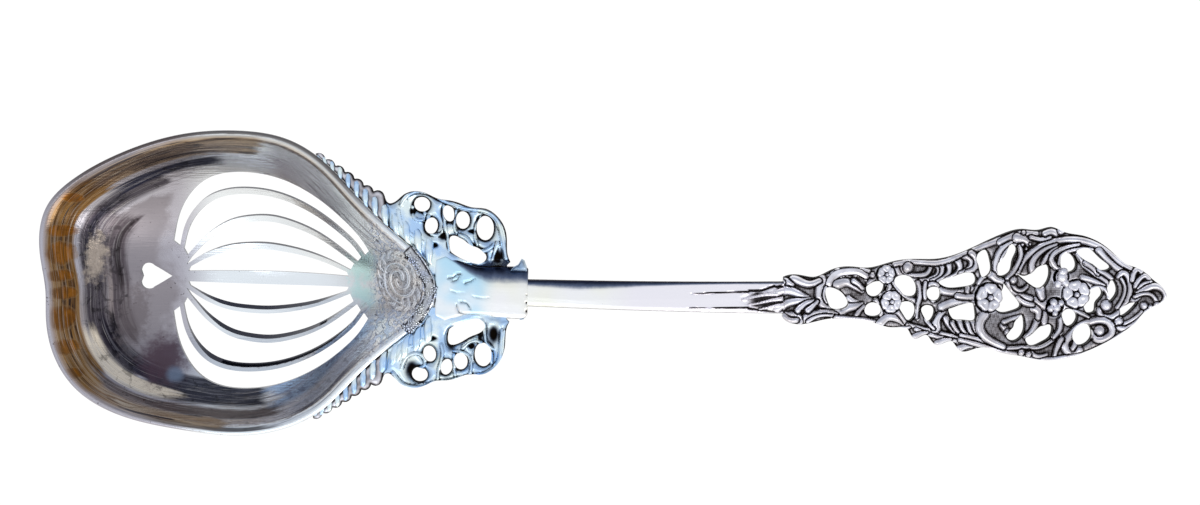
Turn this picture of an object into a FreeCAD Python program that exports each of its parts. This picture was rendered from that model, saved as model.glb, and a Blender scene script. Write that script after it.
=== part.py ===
import FreeCAD, Part
import math
import os
import Sketcher

# Pierced serving spoon in silver. Millimetres. The bowl's tip is at -X, the handle's end
# at +X, +Z is up, and the origin lies under the middle of the spoon on its rest plane.

# Driving sizes
SIZES = {
    # lengths along the spoon, one after the other
    "bowl_length": 80.5,
    "neck_length": 10.8,
    "collar_length": 7.2,
    "shank_length": 50.5,
    "handle_length": 80.0,
    # bowl
    "bowl_half_width": 30.7,
    "tip_height": 13.0,
    "heel_height": 20.5,
    "bowl_wall": 1.2,
    "slat_width": 1.5,
    "centre_slat_width": 2.7,
    "heart_lobe_radius": 1.5,
    "cartouche_relief": 0.5,
    "blossom_relief": 0.9,
    # gadrooned borders and scrolled wings beside the heel
    "border_thickness": 1.6,
    "wing_flare": 1.0,
    "wing_thickness": 2.0,
    # neck and collar
    "neck_half_width": 4.8,
    "neck_thickness": 4.4,
    "neck_bevel": 1.4,
    "neck_lip": 0.0,
    "collar_half_width": 5.3,
    "collar_lip": 0.4,
    "thorn_length": 1.5,
    # shank
    "shank_start_half_width": 2.6,
    "shank_end_half_width": 3.2,
    "shank_thickness": 3.4,
    # pierced handle
    "handle_half_width": 13.7,
    "plate_thickness": 1.9,
    "relief": 1.3,
    "stroke_width": 1.7,
    # rosettes, berries and the bell bud
    "small_rosette_radius": 1.7,
    "first_rosette_radius": 2.3,
    "middle_rosette_radius": 2.8,
    "large_rosette_radius": 3.0,
    "rosette_height": 1.7,
    "berry_radius": 0.85,
    "bell_radius": 1.4,
    "bell_length": 3.4,
    # how far a cutting prism runs past what it cuts
    "overrun": 4.0,
}

# Share of the bowl's half width at which each border ends and its wing begins
BORDER_END_SHARE = 0.602

# Places worked out in the sheet from the sizes above
PLACES = {
    "overall_length": "=bowl_length + neck_length + collar_length + shank_length + handle_length",
    "tip_x": "=-overall_length / 2",
    "heel_x": "=tip_x + bowl_length",
    "collar_x": "=heel_x + neck_length",
    "shank_x": "=collar_x + collar_length",
    "plate_x": "=shank_x + shank_length",
    "rim_slope": "=(heel_height - tip_height) / bowl_length",
    "rim_angle": "=atan(rim_slope) / 1deg",
    "collar_height": "=heel_height + rim_slope * neck_length",
    "shank_height": "=heel_height + rim_slope * (neck_length + collar_length)",
    "wing_half_width": f"=bowl_half_width * {BORDER_END_SHARE} + wing_flare",
    "prism_height": "=2 * heel_height + overrun",
}

doc = FreeCAD.newDocument("PiercedServingSpoon")
sheet = doc.addObject("Spreadsheet::Sheet", "Sizes")
for row, (alias, value) in enumerate(list(SIZES.items()) + list(PLACES.items()), start=1):
    sheet.set(f"A{row}", alias.replace("_", " "))
    sheet.set(f"B{row}", str(value))
    sheet.setAlias(f"B{row}", alias)
doc.recompute()

PLUS_X = FreeCAD.Vector(1, 0, 0)
PLUS_Y = FreeCAD.Vector(0, 1, 0)
PLUS_Z = FreeCAD.Vector(0, 0, 1)


def size(alias):
    return float(sheet.get(alias))


def rim_height(along):
    """Height of the tilted plane that the rim, the borders and the wings share."""
    return size("tip_height") + size("rim_slope") * (along - size("tip_x"))


# Small helpers that add objects to the document

def part_feature(name, shape):
    feature = doc.addObject("Part::Feature", name)
    feature.Shape = shape
    return feature


def extruded(name, shape, direction, length_expression, symmetric=False):
    base = part_feature(name + "_outline", shape)
    prism = doc.addObject("Part::Extrusion", name)
    prism.Base = base
    prism.DirMode = "Custom"
    prism.Dir = direction
    prism.Solid = True
    prism.Symmetric = symmetric
    prism.setExpression("LengthFwd", length_expression)
    return prism


def cut(name, base, tool):
    result = doc.addObject("Part::Cut", name)
    result.Base = base
    result.Tool = tool
    return result


def fused(name, pieces):
    result = doc.addObject("Part::MultiFuse", name)
    result.Shapes = pieces
    return result


def common(name, pieces):
    result = doc.addObject("Part::MultiCommon", name)
    result.Shapes = pieces
    return result


# Curves

def smooth(points, closed=False):
    curve = Part.BSplineCurve()
    curve.interpolate(Points=points, PeriodicFlag=closed)
    return curve.toShape()


def straight(start, end):
    return Part.LineSegment(start, end).toShape()


def flat_face(edges):
    return Part.Face(Part.Wire(edges))


def end_points(edge):
    return edge.Vertexes[0].Point, edge.Vertexes[-1].Point


# The bowl's rim, in shares of the bowl's length from its tip and of its half width.
# The tip is a wave of two lobes with a shallow notch between them.
RIM_SHARES = (
    (0.016, -0.08), (0.001, 0.18), (0.020, 0.48), (0.087, 0.66), (0.205, 0.835), (0.354, 0.965),
    (0.503, 1.00), (0.627, 0.95), (0.708, 0.83), (0.801, 0.59), (0.901, 0.345), (0.970, 0.18),
    (1.000, 0.00),
    (0.970, -0.18), (0.901, -0.345), (0.801, -0.585), (0.708, -0.825), (0.627, -0.935),
    (0.491, -0.995), (0.354, -0.965), (0.205, -0.885), (0.087, -0.705), (0.031, -0.46),
    (0.017, -0.245),
)
# The dish is a row of scaled rims: the wall is steep and the floor nearly flat.
RING_SHARES = (1.0, 0.93, 0.84, 0.72, 0.57, 0.40, 0.25, 0.13)
DISH_CENTRE_SHARE = 0.453
DISH_POWER = 2.6
RIM_OVERRUN_SHARE = 1.06


def dish_depth_share(ring_share):
    """Zero at the foot flat, one at the rim."""
    foot = RING_SHARES[-1] ** DISH_POWER
    return (ring_share ** DISH_POWER - foot) / (1 - foot)


def dish_ring(ring_share, plan_scale, floor):
    """A rim outline drawn in to ring_share, on its own tilted plane above the floor."""
    centre_x = size("tip_x") + DISH_CENTRE_SHARE * size("bowl_length")
    depth_share = dish_depth_share(ring_share)
    points = []
    for along_share, across_share in RIM_SHARES:
        rim_x = size("tip_x") + along_share * size("bowl_length")
        across = across_share * size("bowl_half_width")
        height = floor + (rim_height(rim_x) - floor) * depth_share
        reach = ring_share * plan_scale
        points.append(FreeCAD.Vector(centre_x + (rim_x - centre_x) * reach, across * reach, height))
    return Part.Wire(smooth(points, closed=True))


def dish(name, ring_shares, plan_scale, floor):
    rings = []
    for index, ring_share in enumerate(ring_shares):
        ring = dish_ring(ring_share, plan_scale, floor)
        rings.append(part_feature(f"{name}_ring_{index}", ring))
    loft = doc.addObject("Part::Loft", name)
    loft.Sections = rings
    loft.Solid = True
    loft.Ruled = False
    return loft


INNER_SCALE = 1 - size("bowl_wall") / size("bowl_half_width")
dish_outside = dish("dish_outside", RING_SHARES, 1.0, 0.0)
dish_inside = dish("dish_inside", (RIM_OVERRUN_SHARE,) + RING_SHARES, INNER_SCALE, size("bowl_wall"))
bowl_shell = cut("bowl_shell", dish_outside, dish_inside)

# The slots lie between slats that curve like the ribs of a melon.
# A slat edge follows a profile, in shares of its own length and of its widest reach.
BLUNT_PROFILE_SHARES = (
    (0.0, 0.33), (0.03, 0.57), (0.08, 0.75), (0.16, 0.90), (0.26, 0.98), (0.38, 1.0),
    (0.54, 0.955), (0.68, 0.85), (0.80, 0.71), (0.89, 0.57), (0.96, 0.43), (1.0, 0.31),
)
LEAN_PROFILE_SHARES = (
    (0.0, 0.33), (0.04, 0.46), (0.09, 0.61), (0.16, 0.77), (0.25, 0.91), (0.38, 0.99),
    (0.48, 1.0), (0.60, 0.94), (0.70, 0.85), (0.80, 0.72), (0.90, 0.54), (1.0, 0.33),
)
# Centre line of each curved slat: widest reach, left end, right end and profile
SLAT_SHARES = (
    {"reach": 0.215, "left": 0.350, "right": 0.765, "profile": LEAN_PROFILE_SHARES},
    {"reach": 0.405, "left": 0.352, "right": 0.785, "profile": LEAN_PROFILE_SHARES},
    {"reach": 0.590, "left": 0.346, "right": 0.805, "profile": BLUNT_PROFILE_SHARES},
)
SLOT_FIELD_SHARES = {"reach": 0.718, "left": 0.313, "right": 0.822, "profile": BLUNT_PROFILE_SHARES}
CENTRE_SLAT_END_SHARE = 0.8
SLAT_END_SHARE = 0.5


def slat_edge(shares, side_step, side):
    """One long edge of a slat: side_step moves it out from the slat's centre line."""
    reach = shares["reach"] * size("bowl_half_width") + side_step
    left = size("tip_x") + shares["left"] * size("bowl_length") - side_step * SLAT_END_SHARE
    right = size("tip_x") + shares["right"] * size("bowl_length") + side_step * SLAT_END_SHARE
    points = []
    for along_share, across_share in shares["profile"]:
        points.append(FreeCAD.Vector(left + (right - left) * along_share, side * reach * across_share, 0))
    return smooth(points)


def centre_slat_edge(side):
    first = SLAT_SHARES[0]
    left = size("tip_x") + first["left"] * size("bowl_length")
    right = size("tip_x") + first["right"] * size("bowl_length")
    half = size("centre_slat_width") / 2
    end_half = half * CENTRE_SLAT_END_SHARE
    middle = (left + right) / 2
    points = [
        FreeCAD.Vector(left, side * end_half, 0),
        FreeCAD.Vector(middle, side * half, 0),
        FreeCAD.Vector(right, side * end_half, 0),
    ]
    return smooth(points)


def slot_face(inner_edge, outer_edge):
    inner_left, inner_right = end_points(inner_edge)
    outer_left, outer_right = end_points(outer_edge)
    edges = [
        inner_edge,
        straight(inner_right, outer_right),
        outer_edge,
        straight(outer_left, inner_left),
    ]
    return flat_face(Part.__sortEdges__(edges))


def slot_faces():
    half = size("slat_width") / 2
    faces = []
    for side in (1, -1):
        inner = centre_slat_edge(side)
        for shares in SLAT_SHARES:
            faces.append(slot_face(inner, slat_edge(shares, -half, side)))
            inner = slat_edge(shares, half, side)
        faces.append(slot_face(inner, slat_edge(SLOT_FIELD_SHARES, 0, side)))
    return faces


slots = extruded("slots", Part.Compound(slot_faces()), PLUS_Z, "Sizes.prism_height")

# The heart: two round lobes towards the tip and a point towards the slots
HEART_CENTRE_SHARE = 0.252
HEART_LOBE_SHARE = 0.80
HEART_POINT_SHARE = 3.1
HEART_CORNER_SHARE = 1.72


def heart_faces():
    radius = size("heart_lobe_radius")
    centre_x = size("tip_x") + HEART_CENTRE_SHARE * size("bowl_length")
    lobe_y = HEART_LOBE_SHARE * radius
    faces = []
    for side in (1, -1):
        circle = Part.Circle(FreeCAD.Vector(centre_x, side * lobe_y, 0), PLUS_Z, radius)
        faces.append(flat_face([circle.toShape()]))
    corner_y = HEART_CORNER_SHARE * radius
    corners = [
        FreeCAD.Vector(centre_x, corner_y, 0),
        FreeCAD.Vector(centre_x + HEART_POINT_SHARE * radius, 0, 0),
        FreeCAD.Vector(centre_x, -corner_y, 0),
    ]
    faces.append(Part.Face(Part.makePolygon(corners + corners[:1])))
    return faces


heart = extruded("heart_hole", Part.Compound(heart_faces()), PLUS_Z, "Sizes.prism_height")
bowl = cut("bowl", cut("slotted_bowl", bowl_shell, slots), heart)

# Neck and collar: bevelled bars along the rim plane, the neck's root let under the heel

def bound_polygon(body, name, role, corners):
    """A closed sketch whose corners are bound to expressions of the sheet."""
    plane = next(item for item in body.Origin.OriginFeatures if item.Role == role)
    sketch = body.newObject("Sketcher::SketchObject", name)
    sketch.AttachmentSupport = [(plane, "")]
    sketch.MapMode = "FlatFace"
    places = []
    for across, up in corners:
        places.append(FreeCAD.Vector(sheet.evalExpression(across), sheet.evalExpression(up), 0))
    for index, start in enumerate(places):
        end = places[(index + 1) % len(places)]
        sketch.addGeometry(Part.LineSegment(start, end))
    for index, (across, up) in enumerate(corners):
        before = (index - 1) % len(corners)
        sketch.addConstraint(Sketcher.Constraint("Coincident", before, 2, index, 1))
        for kind, expression, value in (
            ("DistanceX", across, places[index].x),
            ("DistanceY", up, places[index].y),
        ):
            number = sketch.addConstraint(Sketcher.Constraint(kind, -1, 1, index, 1, value))
            sketch.setExpression(f"Constraints[{number}]", expression)
    return sketch


def bevelled_bar(name, half_width, thickness, bevel, top):
    """The section of a padded bar: an octagon in the YZ plane that hangs down from top."""
    body = doc.addObject("PartDesign::Body", name)
    inner = f"({half_width}) - ({bevel})"
    low = f"({top}) - ({thickness})"
    corners = [
        (inner, top),
        (half_width, f"({top}) - ({bevel})"),
        (half_width, f"({low}) + ({bevel})"),
        (inner, low),
        (f"-({inner})", low),
        (f"-({half_width})", f"({low}) + ({bevel})"),
        (f"-({half_width})", f"({top}) - ({bevel})"),
        (f"-({inner})", top),
    ]
    sketch = bound_polygon(body, name + "_section", "YZ_Plane", corners)
    return body, sketch


# Share of the neck's thickness that its root reaches back under the heel
ROOT_SHARE = 1.8

neck_bar, neck_section = bevelled_bar(
    "neck_bar", "Sizes.neck_half_width", "Sizes.neck_thickness", "Sizes.neck_bevel", "Sizes.neck_lip")
neck_pad = neck_bar.newObject("PartDesign::Pad", "neck_pad")
neck_pad.Profile = neck_section
neck_pad.SideType = "Two sides"
neck_pad.setExpression("Length", "Sizes.neck_length / cos(Sizes.rim_angle)")
neck_pad.setExpression("Length2", f"Sizes.neck_thickness * {ROOT_SHARE}")
neck_section.Visibility = False

collar_bar, collar_section = bevelled_bar(
    "collar_bar", "Sizes.collar_half_width", "Sizes.neck_thickness + 2 * Sizes.collar_lip",
    "Sizes.neck_bevel", "Sizes.collar_lip")
collar_pad = collar_bar.newObject("PartDesign::Pad", "collar_pad")
collar_pad.Profile = collar_section
collar_pad.setExpression("Length", "Sizes.collar_length / cos(Sizes.rim_angle)")

tilt = FreeCAD.Rotation(PLUS_Y, -size("rim_angle"))
for bar, place, height in (
    (neck_bar, "heel_x", "heel_height"),
    (collar_bar, "collar_x", "collar_height"),
):
    bar.Placement = FreeCAD.Placement(FreeCAD.Vector(0, 0, 0), tilt)
    bar.setExpression("Placement.Base.x", f"Sizes.{place}")
    bar.setExpression("Placement.Base.z", f"Sizes.{height}")

# Two pointed thorns on the collar's flanks, near its end
THORN_SHARES = (0.42, 0.62, 0.98)


def thorn_faces():
    length = size("collar_length")
    side_y = size("collar_half_width")
    faces = []
    for side in (1, -1):
        root_start = size("collar_x") + THORN_SHARES[0] * length
        peak = size("collar_x") + THORN_SHARES[1] * length
        root_end = size("collar_x") + THORN_SHARES[2] * length
        root_y = side_y - size("neck_bevel")
        corners = [
            FreeCAD.Vector(root_start, side * root_y, rim_height(root_start)),
            FreeCAD.Vector(root_start, side * side_y, rim_height(root_start)),
            FreeCAD.Vector(peak, side * (side_y + size("thorn_length")), rim_height(peak)),
            FreeCAD.Vector(root_end, side * side_y, rim_height(root_end)),
            FreeCAD.Vector(root_end, side * root_y, rim_height(root_end)),
        ]
        faces.append(Part.Face(Part.makePolygon(corners + corners[:1])))
    return faces


PLANE_NORMAL = FreeCAD.Vector(-size("rim_slope"), 0, 1).normalize()
thorns = extruded("thorns", Part.Compound(thorn_faces()), -PLANE_NORMAL, "Sizes.wing_thickness")
neck_collar = fused("neck_collar", [collar_bar, thorns])
neck = cut("neck", neck_bar, dish_outside)

# Gadrooned borders, in shares of the bowl's length and half width: the outer line, from
# where it leaves the rim to where it meets the wing, and a line inside the rim
BORDER_OUTER_SHARES = (
    (0.694, 0.862), (0.742, 0.785), (0.786, 0.712), (0.830, 0.636), (0.866, BORDER_END_SHARE),
)
BORDER_INNER_SHARES = ((0.884, 0.30), (0.700, 0.780))
BORDER_LOBES = 7
LOBE_BULGE_SHARE = 0.28


def on_rim_plane(along, across):
    return FreeCAD.Vector(along, across, rim_height(along))


def bowl_place(shares, side):
    along = size("tip_x") + shares[0] * size("bowl_length")
    return on_rim_plane(along, side * shares[1] * size("bowl_half_width"))


def border_face(side):
    outer = smooth([bowl_place(shares, side) for shares in BORDER_OUTER_SHARES])
    curve = outer.Curve
    step = (curve.LastParameter - curve.FirstParameter) / BORDER_LOBES
    edges = []
    for lobe in range(BORDER_LOBES):
        start = curve.value(curve.FirstParameter + lobe * step)
        end = curve.value(curve.FirstParameter + (lobe + 1) * step)
        chord = end - start
        outward = chord.cross(PLANE_NORMAL).normalize() * (-side)
        middle = (start + end) / 2 + outward * chord.Length * LOBE_BULGE_SHARE
        edges.append(Part.Arc(start, middle, end).toShape())
    inner = [bowl_place(shares, side) for shares in BORDER_INNER_SHARES]
    first, last = bowl_place(BORDER_OUTER_SHARES[0], side), bowl_place(BORDER_OUTER_SHARES[-1], side)
    edges.append(straight(last, inner[0]))
    edges.append(straight(inner[0], inner[1]))
    edges.append(straight(inner[1], first))
    return flat_face(edges)


# Scrolled wings: along in shares of the way from the border's end to the collar's end,
# across in shares of the wing's half width
WING_OUTER_SHARES = (
    (0.045, 0.87), (0.085, 0.90), (0.135, 0.965), (0.205, 1.00), (0.29, 0.98), (0.37, 0.93),
    (0.45, 0.915), (0.52, 0.89), (0.61, 0.85), (0.70, 0.84), (0.775, 0.775), (0.83, 0.665),
    (0.85, 0.54), (0.853, 0.42), (0.88, 0.30),
)
WING_ROOT_SHARES = ((0.88, 0.12), (0.25, 0.12))
ELLIPSE_POINTS = 12
WING_HOLE_SHARES = (
    {"along": 0.262, "across": 0.870, "long": 0.056, "wide": 0.075, "turn": 0},
    {"along": 0.328, "across": 0.655, "long": 0.045, "wide": 0.085, "turn": -10},
    {"along": 0.447, "across": 0.785, "long": 0.040, "wide": 0.085, "turn": 15},
    {"along": 0.545, "across": 0.720, "long": 0.048, "wide": 0.090, "turn": 0},
    {"along": 0.700, "across": 0.645, "long": 0.060, "wide": 0.125, "turn": 0},
)
WING_KIDNEY_SHARES = (
    (0.455, 0.445), (0.480, 0.560), (0.545, 0.530), (0.610, 0.470), (0.690, 0.410), (0.712, 0.345),
    (0.680, 0.285), (0.600, 0.290), (0.530, 0.330), (0.470, 0.385),
)


def wing_place(shares, side):
    start = size("tip_x") + BORDER_OUTER_SHARES[-1][0] * size("bowl_length")
    along = start + shares[0] * (size("shank_x") - start)
    return on_rim_plane(along, side * shares[1] * size("wing_half_width"))


def wing_face(side):
    border_end = bowl_place(BORDER_OUTER_SHARES[-1], side)
    border_root = bowl_place(BORDER_INNER_SHARES[0], side)
    outer_points = [wing_place(shares, side) for shares in WING_OUTER_SHARES]
    root_points = [wing_place(shares, side) for shares in WING_ROOT_SHARES]
    corners = [outer_points[-1]] + root_points + [border_root, border_end]
    edges = [smooth([border_end] + outer_points)]
    for start, end in zip(corners, corners[1:]):
        edges.append(straight(start, end))
    return flat_face(edges)


def wing_hole_faces(side):
    reach = size("shank_x") - size("tip_x") - BORDER_OUTER_SHARES[-1][0] * size("bowl_length")
    faces = []
    for hole in WING_HOLE_SHARES:
        centre = wing_place((hole["along"], hole["across"]), side)
        long_radius = hole["wide"] * size("wing_half_width")
        short_radius = hole["long"] * reach
        axis = FreeCAD.Rotation(PLUS_Z, side * hole["turn"]).multVec(PLUS_Y * side)
        ellipse_points = []
        for step in range(ELLIPSE_POINTS):
            turn = math.tau * step / ELLIPSE_POINTS
            offset = axis * (long_radius * math.cos(turn))
            offset += axis.cross(PLUS_Z) * (short_radius * math.sin(turn))
            spot = centre + offset
            ellipse_points.append(FreeCAD.Vector(spot.x, spot.y, 0))
        faces.append(flat_face([smooth(ellipse_points, closed=True)]))
    kidney = [wing_place(shares, side) for shares in WING_KIDNEY_SHARES]
    faces.append(flat_face([smooth([FreeCAD.Vector(p.x, p.y, 0) for p in kidney], closed=True)]))
    return faces


neck_and_collar = fused("neck_and_collar", [neck_bar, neck_collar])
heel_parts = {}
for hand, side in (("left", 1), ("right", -1)):
    border_bar = extruded(f"border_bar_{hand}", border_face(side), -PLANE_NORMAL, "Sizes.border_thickness")
    heel_parts[f"leaf_border_{hand}"] = cut(f"leaf_border_{hand}", border_bar, dish_outside)
    wing_bar = extruded(f"wing_bar_{hand}", wing_face(side), -PLANE_NORMAL, "Sizes.wing_thickness")
    hole_faces = Part.Compound(wing_hole_faces(side))
    holes = extruded(f"wing_holes_{hand}", hole_faces, PLUS_Z, "Sizes.prism_height")
    pierced = cut(f"pierced_wing_{hand}", wing_bar, holes)
    beside_bowl = cut(f"trimmed_wing_{hand}", pierced, dish_outside)
    heel_parts[f"scroll_wing_{hand}"] = cut(f"scroll_wing_{hand}", beside_bowl, neck_and_collar)

# Cartouche: a thin shell-shaped plaque on the inside of the heel
CARTOUCHE_SHARES = (
    (0.845, 0.00), (0.860, 0.14), (0.895, 0.195), (0.930, 0.165), (0.950, 0.08), (0.955, 0.0),
    (0.950, -0.08), (0.930, -0.165), (0.895, -0.195), (0.860, -0.14),
)


def plan_place(shares):
    place = bowl_place(shares, 1)
    return FreeCAD.Vector(place.x, place.y, 0)


cartouche_face = flat_face([smooth([plan_place(shares) for shares in CARTOUCHE_SHARES], closed=True)])
cartouche_prism = extruded("cartouche_prism", cartouche_face, PLUS_Z, "Sizes.prism_height")
cartouche_block = common("cartouche_block", [cartouche_prism, dish_inside])
raised_dish = doc.addObject("Part::Feature", "raised_dish")
doc.recompute()
raised_dish.Shape = dish_inside.Shape
raised_dish.Placement = FreeCAD.Placement(PLUS_Z * size("cartouche_relief"), FreeCAD.Rotation())
cartouche = cut("cartouche", cartouche_block, raised_dish)

# Blossom band: a crescent of small flowers on the rim where the heel meets the neck
BLOSSOM_OUTER_SHARES = ((0.935, 0.285), (0.972, 0.165), (0.996, 0.0), (0.972, -0.165), (0.935, -0.285))
BLOSSOM_INNER_SHARES = ((0.917, -0.24), (0.955, -0.12), (0.972, 0.0), (0.955, 0.12), (0.917, 0.24))


def blossom_face():
    outer = smooth([bowl_place(shares, 1) for shares in BLOSSOM_OUTER_SHARES])
    inner = smooth([bowl_place(shares, 1) for shares in BLOSSOM_INNER_SHARES])
    outer_start, outer_end = end_points(outer)
    inner_start, inner_end = end_points(inner)
    return flat_face([outer, straight(outer_end, inner_start), inner, straight(inner_end, outer_start)])


blossom_band = extruded("blossom_band", blossom_face(), PLANE_NORMAL, "Sizes.blossom_relief")

# Side view of the shank and the handle: an arch that comes down to a flat rest.
# Along in shares of the way from the shank's start to the flat, up in shares of the
# underside's height at the shank's start, and the spare thickness over the plate's own.
ARCH_SHARES = (
    (0.0, 1.0, 1.0), (0.142, 1.09, 0.75), (0.283, 1.10, 0.45), (0.447, 1.0, 0.15),
    (0.54, 0.87, 0.0), (0.646, 0.67, 0.0), (0.761, 0.445, 0.0), (0.867, 0.235, 0.0),
    (0.938, 0.085, 0.0), (1.0, 0.0, 0.0),
)
REST_START_SHARE = 0.78


def arch_points(rise, with_thickness):
    start_x = size("shank_x")
    rest_x = size("plate_x") + REST_START_SHARE * size("handle_length")
    underside = rim_height(start_x) - size("shank_thickness")
    spare = size("shank_thickness") - size("plate_thickness")
    points = []
    for along_share, up_share, spare_share in ARCH_SHARES:
        height = underside * up_share + rise
        if with_thickness:
            height += size("plate_thickness") + spare * spare_share
        points.append(FreeCAD.Vector(start_x + (rest_x - start_x) * along_share, 0, height))
    return points


def arch_line(rise, with_thickness):
    points = arch_points(rise, with_thickness)
    curve = Part.BSplineCurve()
    first_leg = points[1] - points[0]
    curve.interpolate(Points=points, InitialTangent=first_leg, FinalTangent=PLUS_X * first_leg.Length)
    end = FreeCAD.Vector(size("plate_x") + size("handle_length") + size("overrun"), 0, points[-1].z)
    return curve.toShape(), straight(points[-1], end)


def side_face(low, high):
    low_start, low_end = low[0].Vertexes[0].Point, low[1].Vertexes[-1].Point
    high_start, high_end = high[0].Vertexes[0].Point, high[1].Vertexes[-1].Point
    return flat_face([low[0], low[1], straight(low_end, high_end), high[1], high[0],
                      straight(high_start, low_start)])


underside_line = arch_line(0, False)
top_line = arch_line(0, True)
relief_line = arch_line(size("relief"), True)
bar_block = extruded(
    "bar_block", side_face(underside_line, top_line), PLUS_Y,
    "2 * Sizes.handle_half_width + Sizes.overrun", symmetric=True)
relief_block = extruded(
    "relief_block", side_face(top_line, relief_line), PLUS_Y,
    "2 * Sizes.handle_half_width + Sizes.overrun", symmetric=True)

HALVINGS = 40


def arch_top(along):
    """Height and slope angle of the bar's top at a place along the spoon."""
    curve = top_line[0].Curve
    if along >= top_line[1].Vertexes[0].Point.x:
        return top_line[1].Vertexes[0].Point.z, 0.0
    low, high = curve.FirstParameter, curve.LastParameter
    for _ in range(HALVINGS):
        middle = (low + high) / 2
        if curve.value(middle).x < along:
            low = middle
        else:
            high = middle
    slope = curve.tangent(low)[0]
    return curve.value(low).z, math.degrees(math.atan2(slope.z, slope.x))


# Shank: a plain bar that widens towards the handle and butts against the collar
def shank_face():
    start = size("shank_x")
    end = size("plate_x")
    start_half = size("shank_start_half_width")
    end_half = size("shank_end_half_width")
    corners = [
        FreeCAD.Vector(start, -start_half, 0),
        FreeCAD.Vector(end, -end_half, 0),
        FreeCAD.Vector(end, end_half, 0),
        FreeCAD.Vector(start, start_half, 0),
    ]
    return Part.Face(Part.makePolygon(corners + corners[:1]))


shank_prism = extruded("shank_prism", shank_face(), PLUS_Z, "Sizes.prism_height")
shank_bar = common("shank_bar", [shank_prism, bar_block])
shank = cut("shank", shank_bar, neck_collar)

# Handle plate. Every place on the handle is in shares of the handle's length from the
# plate's start and of its half width.
PLATE_TOP_SHARES = (
    (0.0, 0.29), (0.052, 0.31), (0.078, 0.29), (0.12, 0.39), (0.17, 0.44), (0.216, 0.42),
    (0.275, 0.50), (0.325, 0.54), (0.394, 0.54), (0.438, 0.59), (0.51, 0.76), (0.575, 0.92),
    (0.62, 0.975), (0.664, 0.96), (0.70, 1.00), (0.735, 0.925), (0.783, 0.875), (0.852, 0.67),
    (0.90, 0.45), (0.93, 0.395), (0.963, 0.25), (0.991, 0.11), (1.0, 0.0),
)
PLATE_LOW_SHARES = (
    (1.0, 0.0), (0.988, -0.09), (0.955, -0.20), (0.926, -0.38), (0.879, -0.61), (0.798, -0.865),
    (0.724, -0.985), (0.668, -0.97), (0.62, -0.91), (0.564, -0.845), (0.519, -0.77),
    (0.46, -0.81), (0.438, -0.67), (0.395, -0.715), (0.37, -0.57), (0.34, -0.625), (0.325, -0.50),
    (0.279, -0.45), (0.221, -0.35), (0.177, -0.315), (0.109, -0.315), (0.055, -0.38),
    (0.014, -0.35), (0.0, -0.29),
)
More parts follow.
